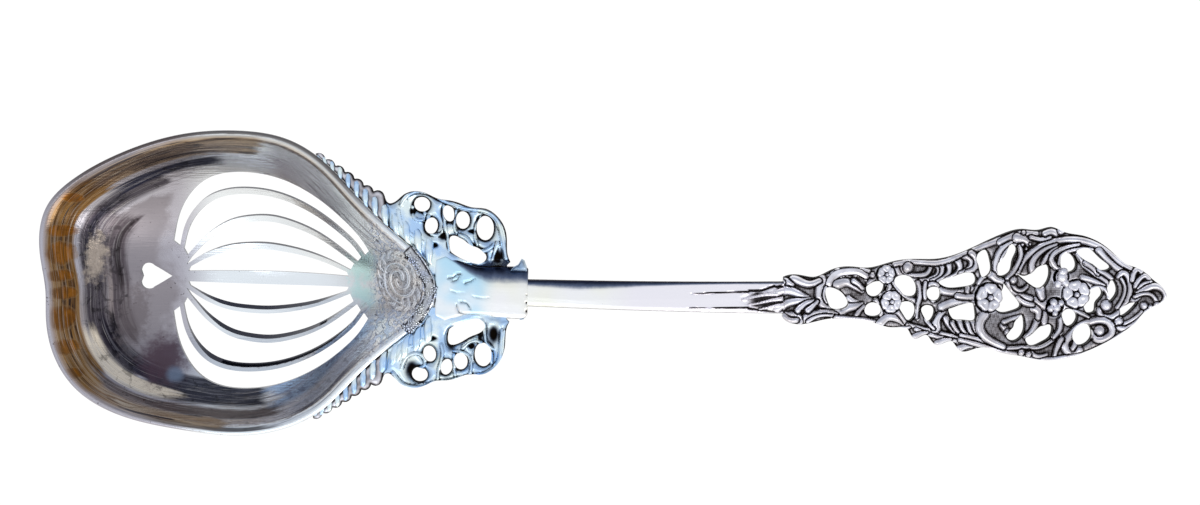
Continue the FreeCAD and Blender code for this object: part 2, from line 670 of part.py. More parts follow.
PLATE_HOLE_SHARES = {
    "entry_eye": (
        (0.113, 0.15), (0.131, 0.13), (0.160, -0.01), (0.166, -0.10), (0.126, -0.17),
        (0.115, -0.09),
    ),
    "leaf_eye": ((0.211, 0.15), (0.236, 0.23), (0.255, 0.20), (0.255, 0.10), (0.235, 0.0), (0.215, 0.05)),
    "leaf_foot": (
        (0.208, -0.18), (0.216, -0.10), (0.234, -0.08), (0.251, -0.16), (0.252, -0.24),
        (0.212, -0.25),
    ),
    "strap_upper_left": (
        (0.283, 0.25), (0.294, 0.31), (0.336, 0.22), (0.337, 0.01), (0.310, 0.02), (0.294, 0.12),
    ),
    "strap_lower_left": (
        (0.300, -0.10), (0.315, -0.07), (0.334, -0.11), (0.339, -0.27), (0.326, -0.36),
        (0.307, -0.25),
    ),
    "strap_upper_right": ((0.371, 0.10), (0.385, 0.14), (0.400, 0.12), (0.400, -0.06), (0.374, -0.03)),
    "strap_lower_right": (
        (0.358, -0.16), (0.372, -0.13), (0.388, -0.18), (0.390, -0.27), (0.376, -0.38),
        (0.361, -0.28),
    ),
    "crescent": (
        (0.401, 0.19), (0.422, 0.12), (0.462, 0.12), (0.498, 0.20), (0.493, 0.31), (0.472, 0.35),
        (0.434, 0.29),
    ),
    "feather_gap": (
        (0.429, -0.19), (0.460, -0.13), (0.494, -0.125), (0.499, -0.23), (0.499, -0.37),
        (0.468, -0.37), (0.438, -0.33),
    ),
    "rail_tall": ((0.501, 0.62), (0.522, 0.67), (0.535, 0.51), (0.533, 0.31), (0.518, 0.26), (0.502, 0.45)),
    "leaf_triangle": (
        (0.571, 0.17), (0.561, 0.0), (0.549, -0.16), (0.563, -0.25), (0.597, -0.245), (0.620, -0.17),
        (0.606, -0.04), (0.588, 0.08),
    ),
    "rail_curved": (
        (0.596, 0.75), (0.605, 0.68), (0.595, 0.51), (0.588, 0.34), (0.560, 0.29), (0.552, 0.43),
        (0.572, 0.60),
    ),
    "bud_gap": (
        (0.608, 0.32), (0.637, 0.30), (0.660, 0.40), (0.688, 0.44), (0.695, 0.26), (0.677, 0.10),
        (0.640, 0.17),
    ),
    "bell_gap": ((0.723, 0.47), (0.736, 0.62), (0.751, 0.60), (0.764, 0.37), (0.747, 0.32)),
    "acanthus_gap": (
        (0.769, 0.67), (0.799, 0.69), (0.834, 0.52), (0.855, 0.40), (0.835, 0.36), (0.812, 0.44),
        (0.781, 0.54),
    ),
    "scroll_eye": (
        (0.850, 0.16), (0.861, 0.22), (0.874, 0.10), (0.868, -0.04), (0.857, -0.10), (0.850, 0.02),
    ),
    "flower_gap": (
        (0.790, -0.03), (0.805, 0.08), (0.829, 0.11), (0.837, 0.01), (0.821, -0.14),
        (0.818, -0.26), (0.801, -0.28),
    ),
    "stem_gap": ((0.739, -0.25), (0.758, -0.23), (0.774, -0.34), (0.754, -0.49), (0.740, -0.43)),
    "volute_gap": ((0.774, -0.48), (0.804, -0.46), (0.813, -0.64), (0.779, -0.77), (0.764, -0.67)),
    "tip_gap": ((0.881, -0.22), (0.905, -0.12), (0.925, -0.10), (0.911, -0.23), (0.884, -0.30)),
    "clasp_right": (
        (0.638, -0.63), (0.657, -0.57), (0.679, -0.47), (0.707, -0.48), (0.705, -0.63),
        (0.680, -0.73), (0.643, -0.74),
    ),
    "clasp_left": (
        (0.608, -0.38), (0.626, -0.31), (0.632, -0.42), (0.626, -0.61), (0.600, -0.69),
        (0.584, -0.60), (0.602, -0.48),
    ),
}


def handle_place(shares, height=0.0):
    along = size("plate_x") + shares[0] * size("handle_length")
    return FreeCAD.Vector(along, shares[1] * size("handle_half_width"), height)


def plate_face():
    top = smooth([handle_place(shares) for shares in PLATE_TOP_SHARES])
    low = smooth([handle_place(shares) for shares in PLATE_LOW_SHARES])
    start = straight(handle_place(PLATE_LOW_SHARES[-1]), handle_place(PLATE_TOP_SHARES[0]))
    return flat_face([top, low, start])


def plate_hole_faces():
    faces = []
    for shares in PLATE_HOLE_SHARES.values():
        points = [handle_place(place) for place in shares]
        faces.append(flat_face([smooth(points, closed=True)]))
    return faces


plate_prism = extruded("plate_prism", plate_face(), PLUS_Z, "Sizes.prism_height")
plate_holes = extruded("plate_holes", Part.Compound(plate_hole_faces()), PLUS_Z, "Sizes.prism_height")
solid_plate = common("solid_plate", [plate_prism, bar_block])
handle_plate = cut("handle_plate", solid_plate, plate_holes)

# Scrolls, leaves and volutes in relief: tapered strokes and round eyes on the plate's top
STROKE_STATIONS = 10


def stroke_face(shares, width_share, end_share):
    """A band about a smooth line, width_share wide at its start and end_share at its end."""
    curve = smooth([handle_place(place) for place in shares]).Curve
    first, last = curve.FirstParameter, curve.LastParameter
    left, right = [], []
    for station in range(STROKE_STATIONS + 1):
        way = station / STROKE_STATIONS
        parameter = first + (last - first) * way
        point = curve.value(parameter)
        heading = curve.tangent(parameter)[0]
        half = size("stroke_width") / 2 * (width_share + (end_share - width_share) * way)
        offset = PLUS_Z.cross(heading).normalize() * half
        left.append(point + offset)
        right.append(point - offset)
    right.reverse()
    edges = [smooth(left), straight(left[-1], right[0]), smooth(right), straight(right[-1], left[0])]
    return flat_face(edges)


def eye_face(place, radius_share):
    circle = Part.Circle(handle_place(place), PLUS_Z, size("stroke_width") * radius_share)
    return flat_face([circle.toShape()])


MOTIFS = {
    "entry_scroll": {
        "strokes": (
            ((
                (0.088, -0.17), (0.082, 0.12), (0.106, 0.28), (0.141, 0.37), (0.188, 0.385),
                (0.222, 0.32),
            ), 0.9, 0.8),
            (((0.094, 0.19), (0.130, 0.21), (0.170, 0.24), (0.205, 0.22)), 0.6, 0.4),
            (((0.086, -0.12), (0.106, -0.24), (0.150, -0.245), (0.195, -0.26)), 0.7, 0.8),
        ),
        "eyes": (((0.219, 0.29), 0.5),),
    },
    "upper_volute": {
        "strokes": (
            ((
                (0.292, 0.43), (0.305, 0.36), (0.350, 0.28), (0.400, 0.28), (0.434, 0.335),
                (0.470, 0.395),
            ), 0.7, 0.7),
            (((0.345, 0.46), (0.385, 0.41), (0.420, 0.335)), 0.7, 0.7),
            (((0.420, 0.52), (0.452, 0.45), (0.468, 0.395)), 0.7, 0.7),
        ),
        "eyes": (((0.318, 0.45), 0.75),),
    },
    "lower_feather": {
        "strokes": (
            ((
                (0.250, -0.34), (0.310, -0.43), (0.370, -0.52), (0.440, -0.60), (0.500, -0.65),
                (0.560, -0.76),
            ), 0.8, 0.8),
            (((0.395, -0.44), (0.420, -0.50), (0.436, -0.59)), 0.8, 0.7),
            (((0.445, -0.44), (0.465, -0.52), (0.472, -0.62)), 0.8, 0.7),
            (((0.490, -0.46), (0.508, -0.55), (0.520, -0.67)), 0.8, 0.8),
        ),
        "eyes": (),
    },
    "acanthus_scroll": {
        "strokes": (
            ((
                (0.625, 0.60), (0.650, 0.74), (0.701, 0.83), (0.757, 0.82), (0.814, 0.745),
                (0.863, 0.575),
            ), 0.9, 1.1),
            (((0.675, 0.78), (0.664, 0.60), (0.640, 0.45)), 0.8, 0.6),
            (((0.705, 0.82), (0.703, 0.68), (0.700, 0.56)), 0.8, 0.6),
        ),
        "eyes": (),
    },
    "terminal_scroll": {
        "strokes": (
            ((
                (0.820, -0.35), (0.850, -0.33), (0.885, -0.16), (0.893, 0.02), (0.893, 0.20),
                (0.878, 0.32),
            ), 0.7, 0.8),
        ),
        "eyes": (((0.832, -0.27), 0.6),),
    },
    "lower_volute": {
        "strokes": (
            ((
                (0.826, -0.51), (0.805, -0.41), (0.778, -0.42), (0.757, -0.58), (0.745, -0.74),
                (0.760, -0.86),
            ), 0.7, 0.8),
        ),
        "eyes": (((0.828, -0.58), 0.8),),
    },
    "finial": {
        "strokes": (
            (((0.880, -0.47), (0.915, -0.37), (0.945, -0.20), (0.972, -0.08)), 0.9, 0.7),
            (((0.912, 0.02), (0.930, 0.14), (0.960, 0.15), (0.980, 0.04), (0.974, -0.08)), 0.8, 0.8),
        ),
        "eyes": (((0.868, -0.41), 0.5), ((0.962, 0.01), 0.6)),
    },
}


def motif(name, shares):
    prisms = []
    for index, (line, start_share, end_share) in enumerate(shares["strokes"]):
        face = stroke_face(line, start_share, end_share)
        prisms.append(extruded(f"{name}_stroke_{index}", face, PLUS_Z, "Sizes.prism_height"))
    for index, (place, radius_share) in enumerate(shares["eyes"]):
        face = eye_face(place, radius_share)
        prisms.append(extruded(f"{name}_eye_{index}", face, PLUS_Z, "Sizes.prism_height"))
    plan = prisms[0]
    if len(prisms) > 1:
        plan = fused(f"{name}_plan", prisms)
    raised = common(f"{name}_raised", [plan, relief_block])
    return cut(name, raised, plate_holes)


motifs = {name: motif(name, shares) for name, shares in MOTIFS.items()}

# Rosettes: a round eye and five petals, on the plate's top
PETALS = 5
FULL_TURN = 360
PETAL_PLACE_SHARE = 0.62
PETAL_RADIUS_SHARE = 0.38
EYE_RADIUS_SHARE = 0.36
PETAL_HEIGHT_SHARE = 0.62
SEAT_SHARE = 0.25


def bound_circle(body, name, radius, offset=None):
    """A circle on the body's own XY plane, at its origin or offset along X."""
    plane = next(item for item in body.Origin.OriginFeatures if item.Role == "XY_Plane")
    sketch = body.newObject("Sketcher::SketchObject", name)
    sketch.AttachmentSupport = [(plane, "")]
    sketch.MapMode = "FlatFace"
    centre = FreeCAD.Vector(sheet.evalExpression(offset) if offset else 0, 0, 0)
    sketch.addGeometry(Part.Circle(centre, PLUS_Z, sheet.evalExpression(radius)))
    number = sketch.addConstraint(Sketcher.Constraint("Radius", 0, sheet.evalExpression(radius)))
    sketch.setExpression(f"Constraints[{number}]", radius)
    if offset:
        sketch.addConstraint(Sketcher.Constraint("PointOnObject", 0, 3, -1))
        number = sketch.addConstraint(Sketcher.Constraint("DistanceX", -1, 1, 0, 3, centre.x))
        sketch.setExpression(f"Constraints[{number}]", offset)
    else:
        sketch.addConstraint(Sketcher.Constraint("Coincident", 0, 3, -1, 1))
    return sketch


def rosette(name, radius_alias, shares):
    body = doc.addObject("PartDesign::Body", name + "_body")
    radius = f"Sizes.{radius_alias}"
    eye = bound_circle(body, name + "_eye", f"{radius} * {EYE_RADIUS_SHARE}")
    eye_pad = body.newObject("PartDesign::Pad", name + "_eye_pad")
    eye_pad.Profile = eye
    eye_pad.setExpression("Length", f"Sizes.rosette_height * {1 + SEAT_SHARE}")
    petal = bound_circle(
        body, name + "_petal", f"{radius} * {PETAL_RADIUS_SHARE}", f"{radius} * {PETAL_PLACE_SHARE}")
    petal_pad = body.newObject("PartDesign::Pad", name + "_petal_pad")
    petal_pad.Profile = petal
    petal_pad.setExpression("Length", f"Sizes.rosette_height * {PETAL_HEIGHT_SHARE + SEAT_SHARE}")
    pattern = body.newObject("PartDesign::PolarPattern", name + "_petals")
    pattern.Originals = [petal_pad]
    pattern.Axis = (petal, ["N_Axis"])
    pattern.Angle = FULL_TURN
    pattern.Occurrences = PETALS
    body.Tip = pattern
    seat(body, shares, size("rosette_height") * SEAT_SHARE)
    return cut(name, body, handle_plate)


def seat(body, shares, sink):
    """Sets a body square on the bar's top, sunk a little, so that the cut gives it its seat."""
    place = handle_place(shares)
    height, angle = arch_top(place.x)
    turn = FreeCAD.Rotation(PLUS_Y, -angle)
    base = FreeCAD.Vector(place.x, place.y, height) - turn.multVec(PLUS_Z) * sink
    body.Placement = FreeCAD.Placement(base, turn)


ROSETTES = {
    "rosette_small": ("small_rosette_radius", (0.259, 0.355)),
    "rosette_first": ("first_rosette_radius", (0.274, -0.13)),
    "rosette_middle": ("middle_rosette_radius", (0.532, -0.02)),
    "rosette_large": ("large_rosette_radius", (0.752, -0.01)),
}
rosettes = {name: rosette(name, alias, shares) for name, (alias, shares) in ROSETTES.items()}

# Berry cluster: three round berries that touch, beside the large rosette
BERRY_PLACE_SHARES = ((0.701, -0.20), (0.690, -0.12), (0.684, -0.215))
BERRY_RISE_SHARE = 0.3


def berry(index, shares):
    ball = doc.addObject("Part::Sphere", f"berry_{index}")
    ball.setExpression("Radius", "Sizes.berry_radius")
    place = handle_place(shares)
    height, _ = arch_top(place.x)
    ball.Placement = FreeCAD.Placement(FreeCAD.Vector(place.x, place.y, height), FreeCAD.Rotation())
    ball.setExpression("Placement.Base.z", f"{height} + Sizes.berry_radius * {BERRY_RISE_SHARE}")
    return ball


berries = fused("berries", [berry(index, shares) for index, shares in enumerate(BERRY_PLACE_SHARES)])
berry_cluster = cut("berry_cluster", berries, handle_plate)

# Bell bud: a little cone with a round base, lying on the plate
BELL_PLACE_SHARE = (0.722, 0.24)
BELL_TURN = 100
BELL_TIP_SHARE = 0.35
QUARTER_TURN = 90


def bell():
    cone = doc.addObject("Part::Cone", "bell_cup")
    cone.setExpression("Radius1", "Sizes.bell_radius")
    cone.setExpression("Radius2", f"Sizes.bell_radius * {BELL_TIP_SHARE}")
    cone.setExpression("Height", "Sizes.bell_length")
    place = handle_place(BELL_PLACE_SHARE)
    height, angle = arch_top(place.x)
    lying = FreeCAD.Rotation(PLUS_Z, BELL_TURN).multiply(FreeCAD.Rotation(PLUS_Y, QUARTER_TURN))
    turn = FreeCAD.Rotation(PLUS_Y, -angle).multiply(lying)
    cone.Placement = FreeCAD.Placement(FreeCAD.Vector(place.x, place.y, height), turn)
    return cone


bell_bud = cut("bell_bud", bell(), handle_plate)

# Lance leaf: a tongue along the shank that ends in a bud and a spread leaf
LANCE_SHARES = (
    (-0.20, 0.0), (-0.14, 0.085), (-0.06, 0.10), (-0.02, 0.16), (0.012, 0.10), (0.038, 0.20), (0.058, 0.18),
    (0.064, 0.0),
    (0.058, -0.19), (0.038, -0.22), (0.012, -0.10), (-0.02, -0.16), (-0.06, -0.10), (-0.14, -0.085),
)
lance_face = flat_face([smooth([handle_place(shares) for shares in LANCE_SHARES], closed=True)])
lance_prism = extruded("lance_prism", lance_face, PLUS_Z, "Sizes.prism_height")
shank_leaf = common("shank_leaf", [lance_prism, relief_block])

# Sub-parts, each under the name that its file takes
SUB_PARTS = {
    "bowl": bowl,
    "cartouche": cartouche,
    "blossom_band": blossom_band,
    "neck": neck,
    "neck_collar": neck_collar,
    "shank": shank,
    "shank_leaf": shank_leaf,
    "handle_plate": handle_plate,
    "berry_cluster": berry_cluster,
    "bell_bud": bell_bud,
}
SUB_PARTS.update(heel_parts)
SUB_PARTS.update(motifs)
SUB_PARTS.update(rosettes)

doc.recompute()
for item in doc.Objects:
    if "Invalid" in item.State or "Error" in item.State:
        raise RuntimeError(f"{item.Label} did not compute: {item.State}")
for label, item in SUB_PARTS.items():
    item.Label = label
    if item.Shape.isNull() or not item.Shape.isValid() or not item.Shape.Solids:
        raise RuntimeError(f"{label} has no valid shape")

os.makedirs("parts", exist_ok=True)
for label, item in SUB_PARTS.items():
    item.Shape.exportStep(f"parts/{label}.step")
    print(label, "solids", len(item.Shape.Solids), "volume", round(item.Shape.Volume, 1))
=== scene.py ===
import math

import bmesh
import bpy
import numpy as np
from mathutils import Matrix, Vector
from mathutils.geometry import delaunay_2d_cdt
from mathutils.kdtree import KDTree


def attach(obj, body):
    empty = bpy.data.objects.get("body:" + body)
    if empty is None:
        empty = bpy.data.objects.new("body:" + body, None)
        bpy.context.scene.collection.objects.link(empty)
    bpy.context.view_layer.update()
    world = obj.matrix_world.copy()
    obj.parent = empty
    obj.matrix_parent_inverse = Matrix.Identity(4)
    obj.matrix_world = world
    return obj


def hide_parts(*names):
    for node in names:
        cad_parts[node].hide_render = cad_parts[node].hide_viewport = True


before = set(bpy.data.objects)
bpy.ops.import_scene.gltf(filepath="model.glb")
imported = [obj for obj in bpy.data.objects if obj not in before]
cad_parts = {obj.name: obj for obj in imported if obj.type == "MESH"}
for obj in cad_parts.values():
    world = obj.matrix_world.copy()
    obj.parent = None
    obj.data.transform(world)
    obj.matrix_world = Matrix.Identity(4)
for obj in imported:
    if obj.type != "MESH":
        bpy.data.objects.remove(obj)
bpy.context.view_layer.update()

# Pierced silver serving spoon. Shapes are worked out in millimetres and stored in metres.
MM = 0.001

# Places along the spoon, as in the solids
TIP_X, BOWL_LENGTH, BOWL_HALF = -114.5, 80.5, 30.7
HEEL_X, COLLAR_X, SHANK_X, PLATE_X = -34.0, -23.2, -16.0, 34.5
HANDLE_LENGTH, HANDLE_HALF = 80.0, 13.7
TIP_HEIGHT, HEEL_HEIGHT, BOWL_WALL = 13.0, 20.5, 1.2
RIM_SLOPE = (HEEL_HEIGHT - TIP_HEIGHT) / BOWL_LENGTH
DISH_CENTRE_X = TIP_X + 0.453 * BOWL_LENGTH
DISH_POWER, FOOT_SHARE = 2.6, 0.13
RELIEF = 1.3


def rim_height(x):
    return TIP_HEIGHT + RIM_SLOPE * (x - TIP_X)


# Curves

def spline(points, count, closed=False):
    """Points spaced evenly by parameter on a cubic spline through the given points."""
    knots = np.array(points, float)
    if closed:
        knots = np.vstack([knots, knots[:1]])
    gaps = np.linalg.norm(np.diff(knots, axis=0), axis=1)
    at = np.concatenate([[0.0], np.cumsum(gaps)])
    last = len(knots) - 1
    system = np.zeros((last + 1, last + 1))
    target = np.zeros((last + 1, knots.shape[1]))
    for row in range(1, last):
        before, after = gaps[row - 1], gaps[row]
        system[row, row - 1:row + 2] = before, 2 * (before + after), after
        target[row] = 6 * ((knots[row + 1] - knots[row]) / after - (knots[row] - knots[row - 1]) / before)
    if closed:
        system[0, 0], system[0, last] = 1, -1
        before, after = gaps[-1], gaps[0]
        system[last, [0, 1, last - 1, last]] = 2 * after, after, before, 2 * before
        target[last] = 6 * ((knots[1] - knots[0]) / after - (knots[0] - knots[last - 1]) / before)
    else:
        system[0, 0] = system[last, last] = 1
    bend = np.linalg.solve(system, target)
    spots = np.linspace(0, at[-1], count, endpoint=not closed)
    piece = np.clip(np.searchsorted(at, spots, side="right") - 1, 0, last - 1)
    span = gaps[piece][:, None]
    along = ((spots - at[piece]) / gaps[piece])[:, None]
    back = 1 - along
    curve = back * knots[piece] + along * knots[piece + 1]
    curve += ((back ** 3 - back) * bend[piece] + (along ** 3 - along) * bend[piece + 1]) * span ** 2 / 6
    return curve


def spaced(loop, step):
    """A closed loop with its points set about one step apart."""
    closed = np.vstack([loop, loop[:1]])
    at = np.concatenate([[0.0], np.cumsum(np.linalg.norm(np.diff(closed, axis=0), axis=1))])
    count = max(8, int(round(at[-1] / step)))
    spots = np.linspace(0, at[-1], count, endpoint=False)
    return np.column_stack([np.interp(spots, at, closed[:, axis]) for axis in range(loop.shape[1])])


def inside(points, loops):
    """True where a point lies within an odd number of loops: in the outline and in no hole."""
    odd = np.zeros(len(points), bool)
    px, py = points[:, 0], points[:, 1]
    for loop in loops:
        nxt = np.roll(loop, -1, axis=0)
        for (ax, ay), (bx, by) in zip(loop[:, :2], nxt[:, :2]):
            if ay == by:
                continue
            crosses = (ay > py) != (by > py)
            odd ^= crosses & (px < (bx - ax) * (py - ay) / (by - ay) + ax)
    return odd


def edge_distance(points, loops, step=0.12):
    """Distance from each point to the nearest outline."""
    rims = np.vstack([spaced(loop[:, :2], step) for loop in loops])
    tree = KDTree(len(rims))
    for index, (x, y) in enumerate(rims):
        tree.insert((x, y, 0.0), index)
    tree.balance()
    return np.array([tree.find((x, y, 0.0))[2] for x, y in points[:, :2]])


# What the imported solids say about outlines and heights

FLAT_COSINE = 0.9


def face_outlines(node, up=1):
    """Closed outlines, in millimetres, of a node's upper or lower face, the longest first."""
    solid = bmesh.new()
    solid.from_mesh(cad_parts[node].data)
    bmesh.ops.remove_doubles(solid, verts=solid.verts, dist=1e-6)
    flat = {face for face in solid.faces if face.normal.z * up > FLAT_COSINE}
    links = {}
    for edge in solid.edges:
        if sum(face in flat for face in edge.link_faces) == 1:
            first, second = edge.verts
            links.setdefault(first, []).append(second)
            links.setdefault(second, []).append(first)
    loops = []
    while links:
        start = next(iter(links))
        loop, here = [], start
        while here in links:
            loop.append(here.co / MM)
            neighbours = links.pop(here)
            ahead = [other for other in neighbours if other in links]
            if not ahead:
                break
            here = ahead[0]
        if len(loop) > 3:
            loops.append(np.array(loop))
    solid.free()
    loops.sort(key=lambda loop: -np.ptp(loop[:, 0]) - np.ptp(loop[:, 1]))
    return loops


def height_along(node, up=1):
    """A function of x that gives the height of a node's upper or lower face."""
    places = np.vstack(face_outlines(node, up))
    order = np.argsort(places[:, 0])
    xs, picks = np.unique(np.round(places[order, 0], 3), return_index=True)
    zs = places[order, 2][picks]
    return lambda x: np.interp(x, xs, zs)


# Meshes

def new_piece(name, points, faces, slot, material, attributes=None, sharp_angle=50):
    """A mesh object at the origin, its points given in millimetres."""
    mesh = bpy.data.meshes.new(name)
    mesh.from_pydata([tuple(point) for point in np.asarray(points) * MM], [], [tuple(face) for face in faces])
    mesh.validate()
    mesh.materials.append(material)
    for label, values in (attributes or {}).items():
        layer = mesh.attributes.new(label, "FLOAT", "POINT")
        layer.data.foreach_set("value", np.asarray(values, np.float32))
    piece = bpy.data.objects.new(name, mesh)
    bpy.context.scene.collection.objects.link(piece)
    finish_shading(mesh, sharp_angle)
    return piece


def finish_shading(mesh, sharp_angle):
    mesh.shade_smooth()
    mesh.set_sharp_from_angle(angle=math.radians(sharp_angle))


def edge_pairs(faces):
    pairs = np.vstack([faces[:, [0, 1]], faces[:, [1, 2]], faces[:, [2, 0]]])
    return np.unique(np.sort(pairs, axis=1), axis=0)


def blurred(values, pairs, rounds):
    """Each value averaged with its neighbours', a number of times over."""
    first, second = pairs[:, 0], pairs[:, 1]
    share = np.bincount(first, minlength=len(values)) + np.bincount(second, minlength=len(values))
    for _ in range(rounds):
        total = np.bincount(first, values[second], len(values)) + np.bincount(second, values[first], len(values))
        values = 0.5 * values + 0.5 * total / np.maximum(share, 1)
    return values


HOLLOW_REACH = 0.32
SMOOTHING_ROUNDS = 2


def relief_piece(name, slot, material, loops, top, bottom, relief, spacing, hollow_depth=0.16, full_back=False):
    """A plate with the given outlines and holes, whose top carries a relief.

    top and bottom give heights from x; relief gives a rise and a polish share from x, y and
    the distance to the nearest edge. Polish is one on a crest and falls to zero in a hollow.
    """
    rims = [spaced(loop[:, :2], spacing * 1.15) for loop in loops]
    low = np.min(rims[0], axis=0)
    high = np.max(rims[0], axis=0)
    rows = []
    for row, y in enumerate(np.arange(low[1], high[1], spacing * math.sqrt(0.75))):
        xs = np.arange(low[0] + (row % 2) * spacing / 2, high[0], spacing)
        rows.append(np.column_stack([xs, np.full(len(xs), y)]))
    grid = np.vstack(rows)
    grid = grid[inside(grid, rims)]
    grid = grid[edge_distance(grid, rims, spacing / 2) > spacing * 0.62]
    border = np.vstack(rims)
    flat = np.vstack([border, grid])
    fences = []
    start = 0
    for rim in rims:
        count = len(rim)
        fences += [(start + step, start + (step + 1) % count) for step in range(count)]
        start += count
    corners, _, triangles, *_ = delaunay_2d_cdt([Vector(point) for point in flat], fences, [], 1, 1e-6)
    flat = np.array([tuple(corner) for corner in corners])
    faces = np.array([face for face in triangles if len(face) == 3])
    faces = faces[inside(flat[faces].mean(axis=1), rims)]
    first, second, third = (flat[faces[:, corner]] for corner in range(3))
    turn = (second[:, 0] - first[:, 0]) * (third[:, 1] - first[:, 1])
    turn -= (second[:, 1] - first[:, 1]) * (third[:, 0] - first[:, 0])
    faces[turn < 0] = faces[turn < 0][:, ::-1]
    gap = edge_distance(flat, rims)
    rise, polish = relief(flat[:, 0], flat[:, 1], gap)
    pairs = edge_pairs(faces)
    rise = blurred(rise, pairs, SMOOTHING_ROUNDS)
    hollow = blurred(rise, pairs, max(4, round(2 * (HOLLOW_REACH / spacing) ** 2))) - rise
    polish = np.clip(polish - np.clip(hollow / hollow_depth, -0.6, 1.0), 0, 1)
    upper = np.column_stack([flat, top(flat[:, 0]) + rise])
    directed = {(a, b) for face in faces for a, b in zip(face, np.roll(face, -1))}
    outline = [(a, b) for a, b in directed if (b, a) not in directed]
    on_rim = list(range(len(flat))) if full_back else sorted({index for pair in outline for index in pair})
    below = {index: len(upper) + order for order, index in enumerate(on_rim)}
    lower = np.column_stack([flat[on_rim], bottom(flat[on_rim, 0])])
    rim_of = {index: order for order, index in enumerate(on_rim)}
    if full_back:
        under_flat, under_faces = flat, faces
    else:
        under_fences = [(rim_of[a], rim_of[b]) for a, b in outline]
        under = delaunay_2d_cdt([Vector(point) for point in flat[on_rim]], under_fences, [], 1, 1e-7)
        under_flat = np.array([tuple(corner) for corner in under[0]])
        under_faces = np.array([face for face in under[2] if len(face) == 3])
        under_faces = under_faces[inside(under_flat[under_faces].mean(axis=1), rims)]
    all_faces = [tuple(face) for face in faces]
    for a, b, c in under_faces:
        pa, pb, pc = under_flat[a], under_flat[b], under_flat[c]
        turn = (pb[0] - pa[0]) * (pc[1] - pa[1]) - (pb[1] - pa[1]) * (pc[0] - pa[0])
        order = (c, b, a) if turn > 0 else (a, b, c)
        all_faces.append(tuple(len(upper) + int(index) for index in order))
    for a, b in outline:
        all_faces.append((b, a, below[a], below[b]))
    points = np.vstack([upper, lower])
    # The lower points take the black of painted shade on the walls
    polish = np.concatenate([polish, np.full(len(lower), SHADED_WALL_POLISH)])
    piece = new_piece(name, points, all_faces, slot, material, {"polish": polish})
    return piece


# Cut edges below the ornament are left black: painted shade on the walls of the holes and outline
SHADED_WALL_POLISH = 0.02


def ridges(x, y, strokes, place, widening=1.0):
    """Rise share of tapered round ridges drawn along smooth lines, and below zero off them."""
    rise = np.full(len(x), -1.0)
    for line, start_half, end_half, height in strokes:
        spots = spline([place(*share) for share in line], 14 * len(line))
        halves = np.linspace(start_half, end_half, len(spots)) * widening
        reach = max(start_half, end_half) * widening
        near = np.flatnonzero(
            (x > spots[:, 0].min() - reach) & (x < spots[:, 0].max() + reach)
            & (y > spots[:, 1].min() - reach) & (y < spots[:, 1].max() + reach))
        if not len(near):
            continue
        gaps = np.hypot(x[near, None] - spots[None, :, 0], y[near, None] - spots[None, :, 1]) / halves
        gap = gaps.min(axis=1)
        body = height * np.clip(1 - gap ** 2, 0, 1) ** 0.55
        rise[near] = np.maximum(rise[near], np.where(gap < 1, body, -1.0))
    return rise


def leaves(x, y, strokes, place, widening=1.0):
    """Rise and polish of rounded leaves and stems laid one over another, each with a groove round it."""
    rise = np.full(len(x), -1.0)
    polish = np.zeros(len(x))
    for line, start_half, end_half, height in strokes:
        spots = spline([place(*share) for share in line], 14 * len(line))
        halves = np.linspace(start_half, end_half, len(spots)) * widening
        reach = max(start_half, end_half) * widening + GROOVE
        near = np.flatnonzero(
            (x > spots[:, 0].min() - reach) & (x < spots[:, 0].max() + reach)
            & (y > spots[:, 1].min() - reach) & (y < spots[:, 1].max() + reach))
        if not len(near):
            continue
        away = np.hypot(x[near, None] - spots[None, :, 0], y[near, None] - spots[None, :, 1])
        share = (away / halves).min(axis=1)
        margin = (away - halves).min(axis=1)
        lay_over(rise, polish, near, share, margin, height)
    return rise, polish


GROOVE, EDGE_SHADE = 0.16, 0.2


def lay_over(rise, polish, near, share, margin, height):
    """Lays one rounded form over those before it: share and margin are distances from its edge."""
    within, beside = margin < 0, (margin >= 0) & (margin < GROOVE)
    before = rise[near]
    body = height * np.clip(1 - share ** 2, 0, 1) ** 0.55
    rise[near] = np.where(within, np.maximum(body, 0.5 * before), np.where(beside & (before > 0), 0.5 * before, before))
    edge = np.clip(-margin / EDGE_SHADE, 0, 1)
    polish[near] = np.where(within, edge, np.where(beside, 0.15 * polish[near], polish[near]))


def pillow(gap, reach):
    """Zero at an edge, rounding up to one at the given reach from it."""
    return np.sqrt(np.clip(1 - (1 - np.clip(gap / reach, 0, 1)) ** 2, 0, 1))


# Materials

STUDIO_LEVEL = 0.85


def seen(red, green, blue, level=STUDIO_LEVEL):
    """A metal's colour from how it looks on the screen under the studio's sky."""
    return tuple(min(1.0, ((share + 0.055) / 1.055) ** 2.4 / level) for share in (red, green, blue)) + (1.0,)


def group_tree(name, inputs, outputs):
    tree = bpy.data.node_groups.new(name, "ShaderNodeTree")
    for label, kind, value in inputs:
        socket = tree.interface.new_socket(label, in_out="INPUT", socket_type="NodeSocket" + kind)
        if value is not None:
            socket.default_value = value
    for label, kind in outputs:
        tree.interface.new_socket(label, in_out="OUTPUT", socket_type="NodeSocket" + kind)
    return tree, tree.nodes.new("NodeGroupInput"), tree.nodes.new("NodeGroupOutput")


def add(tree, kind, values=None, **settings):
    """A node with its settings, and its inputs set to values or joined to other sockets."""
    node = tree.nodes.new(kind)
    for label, setting in settings.items():
        setattr(node, label, setting)
    for label, value in (values or {}).items():
        socket = node.inputs[label]
        if isinstance(value, bpy.types.NodeSocket):
            tree.links.new(value, socket)
        else:
            socket.default_value = value
    return node


def maths(tree, operation, first, second=0.0, clamp=False):
    node = add(tree, "ShaderNodeMath", {0: first, 1: second}, operation=operation, use_clamp=clamp)
    return node.outputs[0]


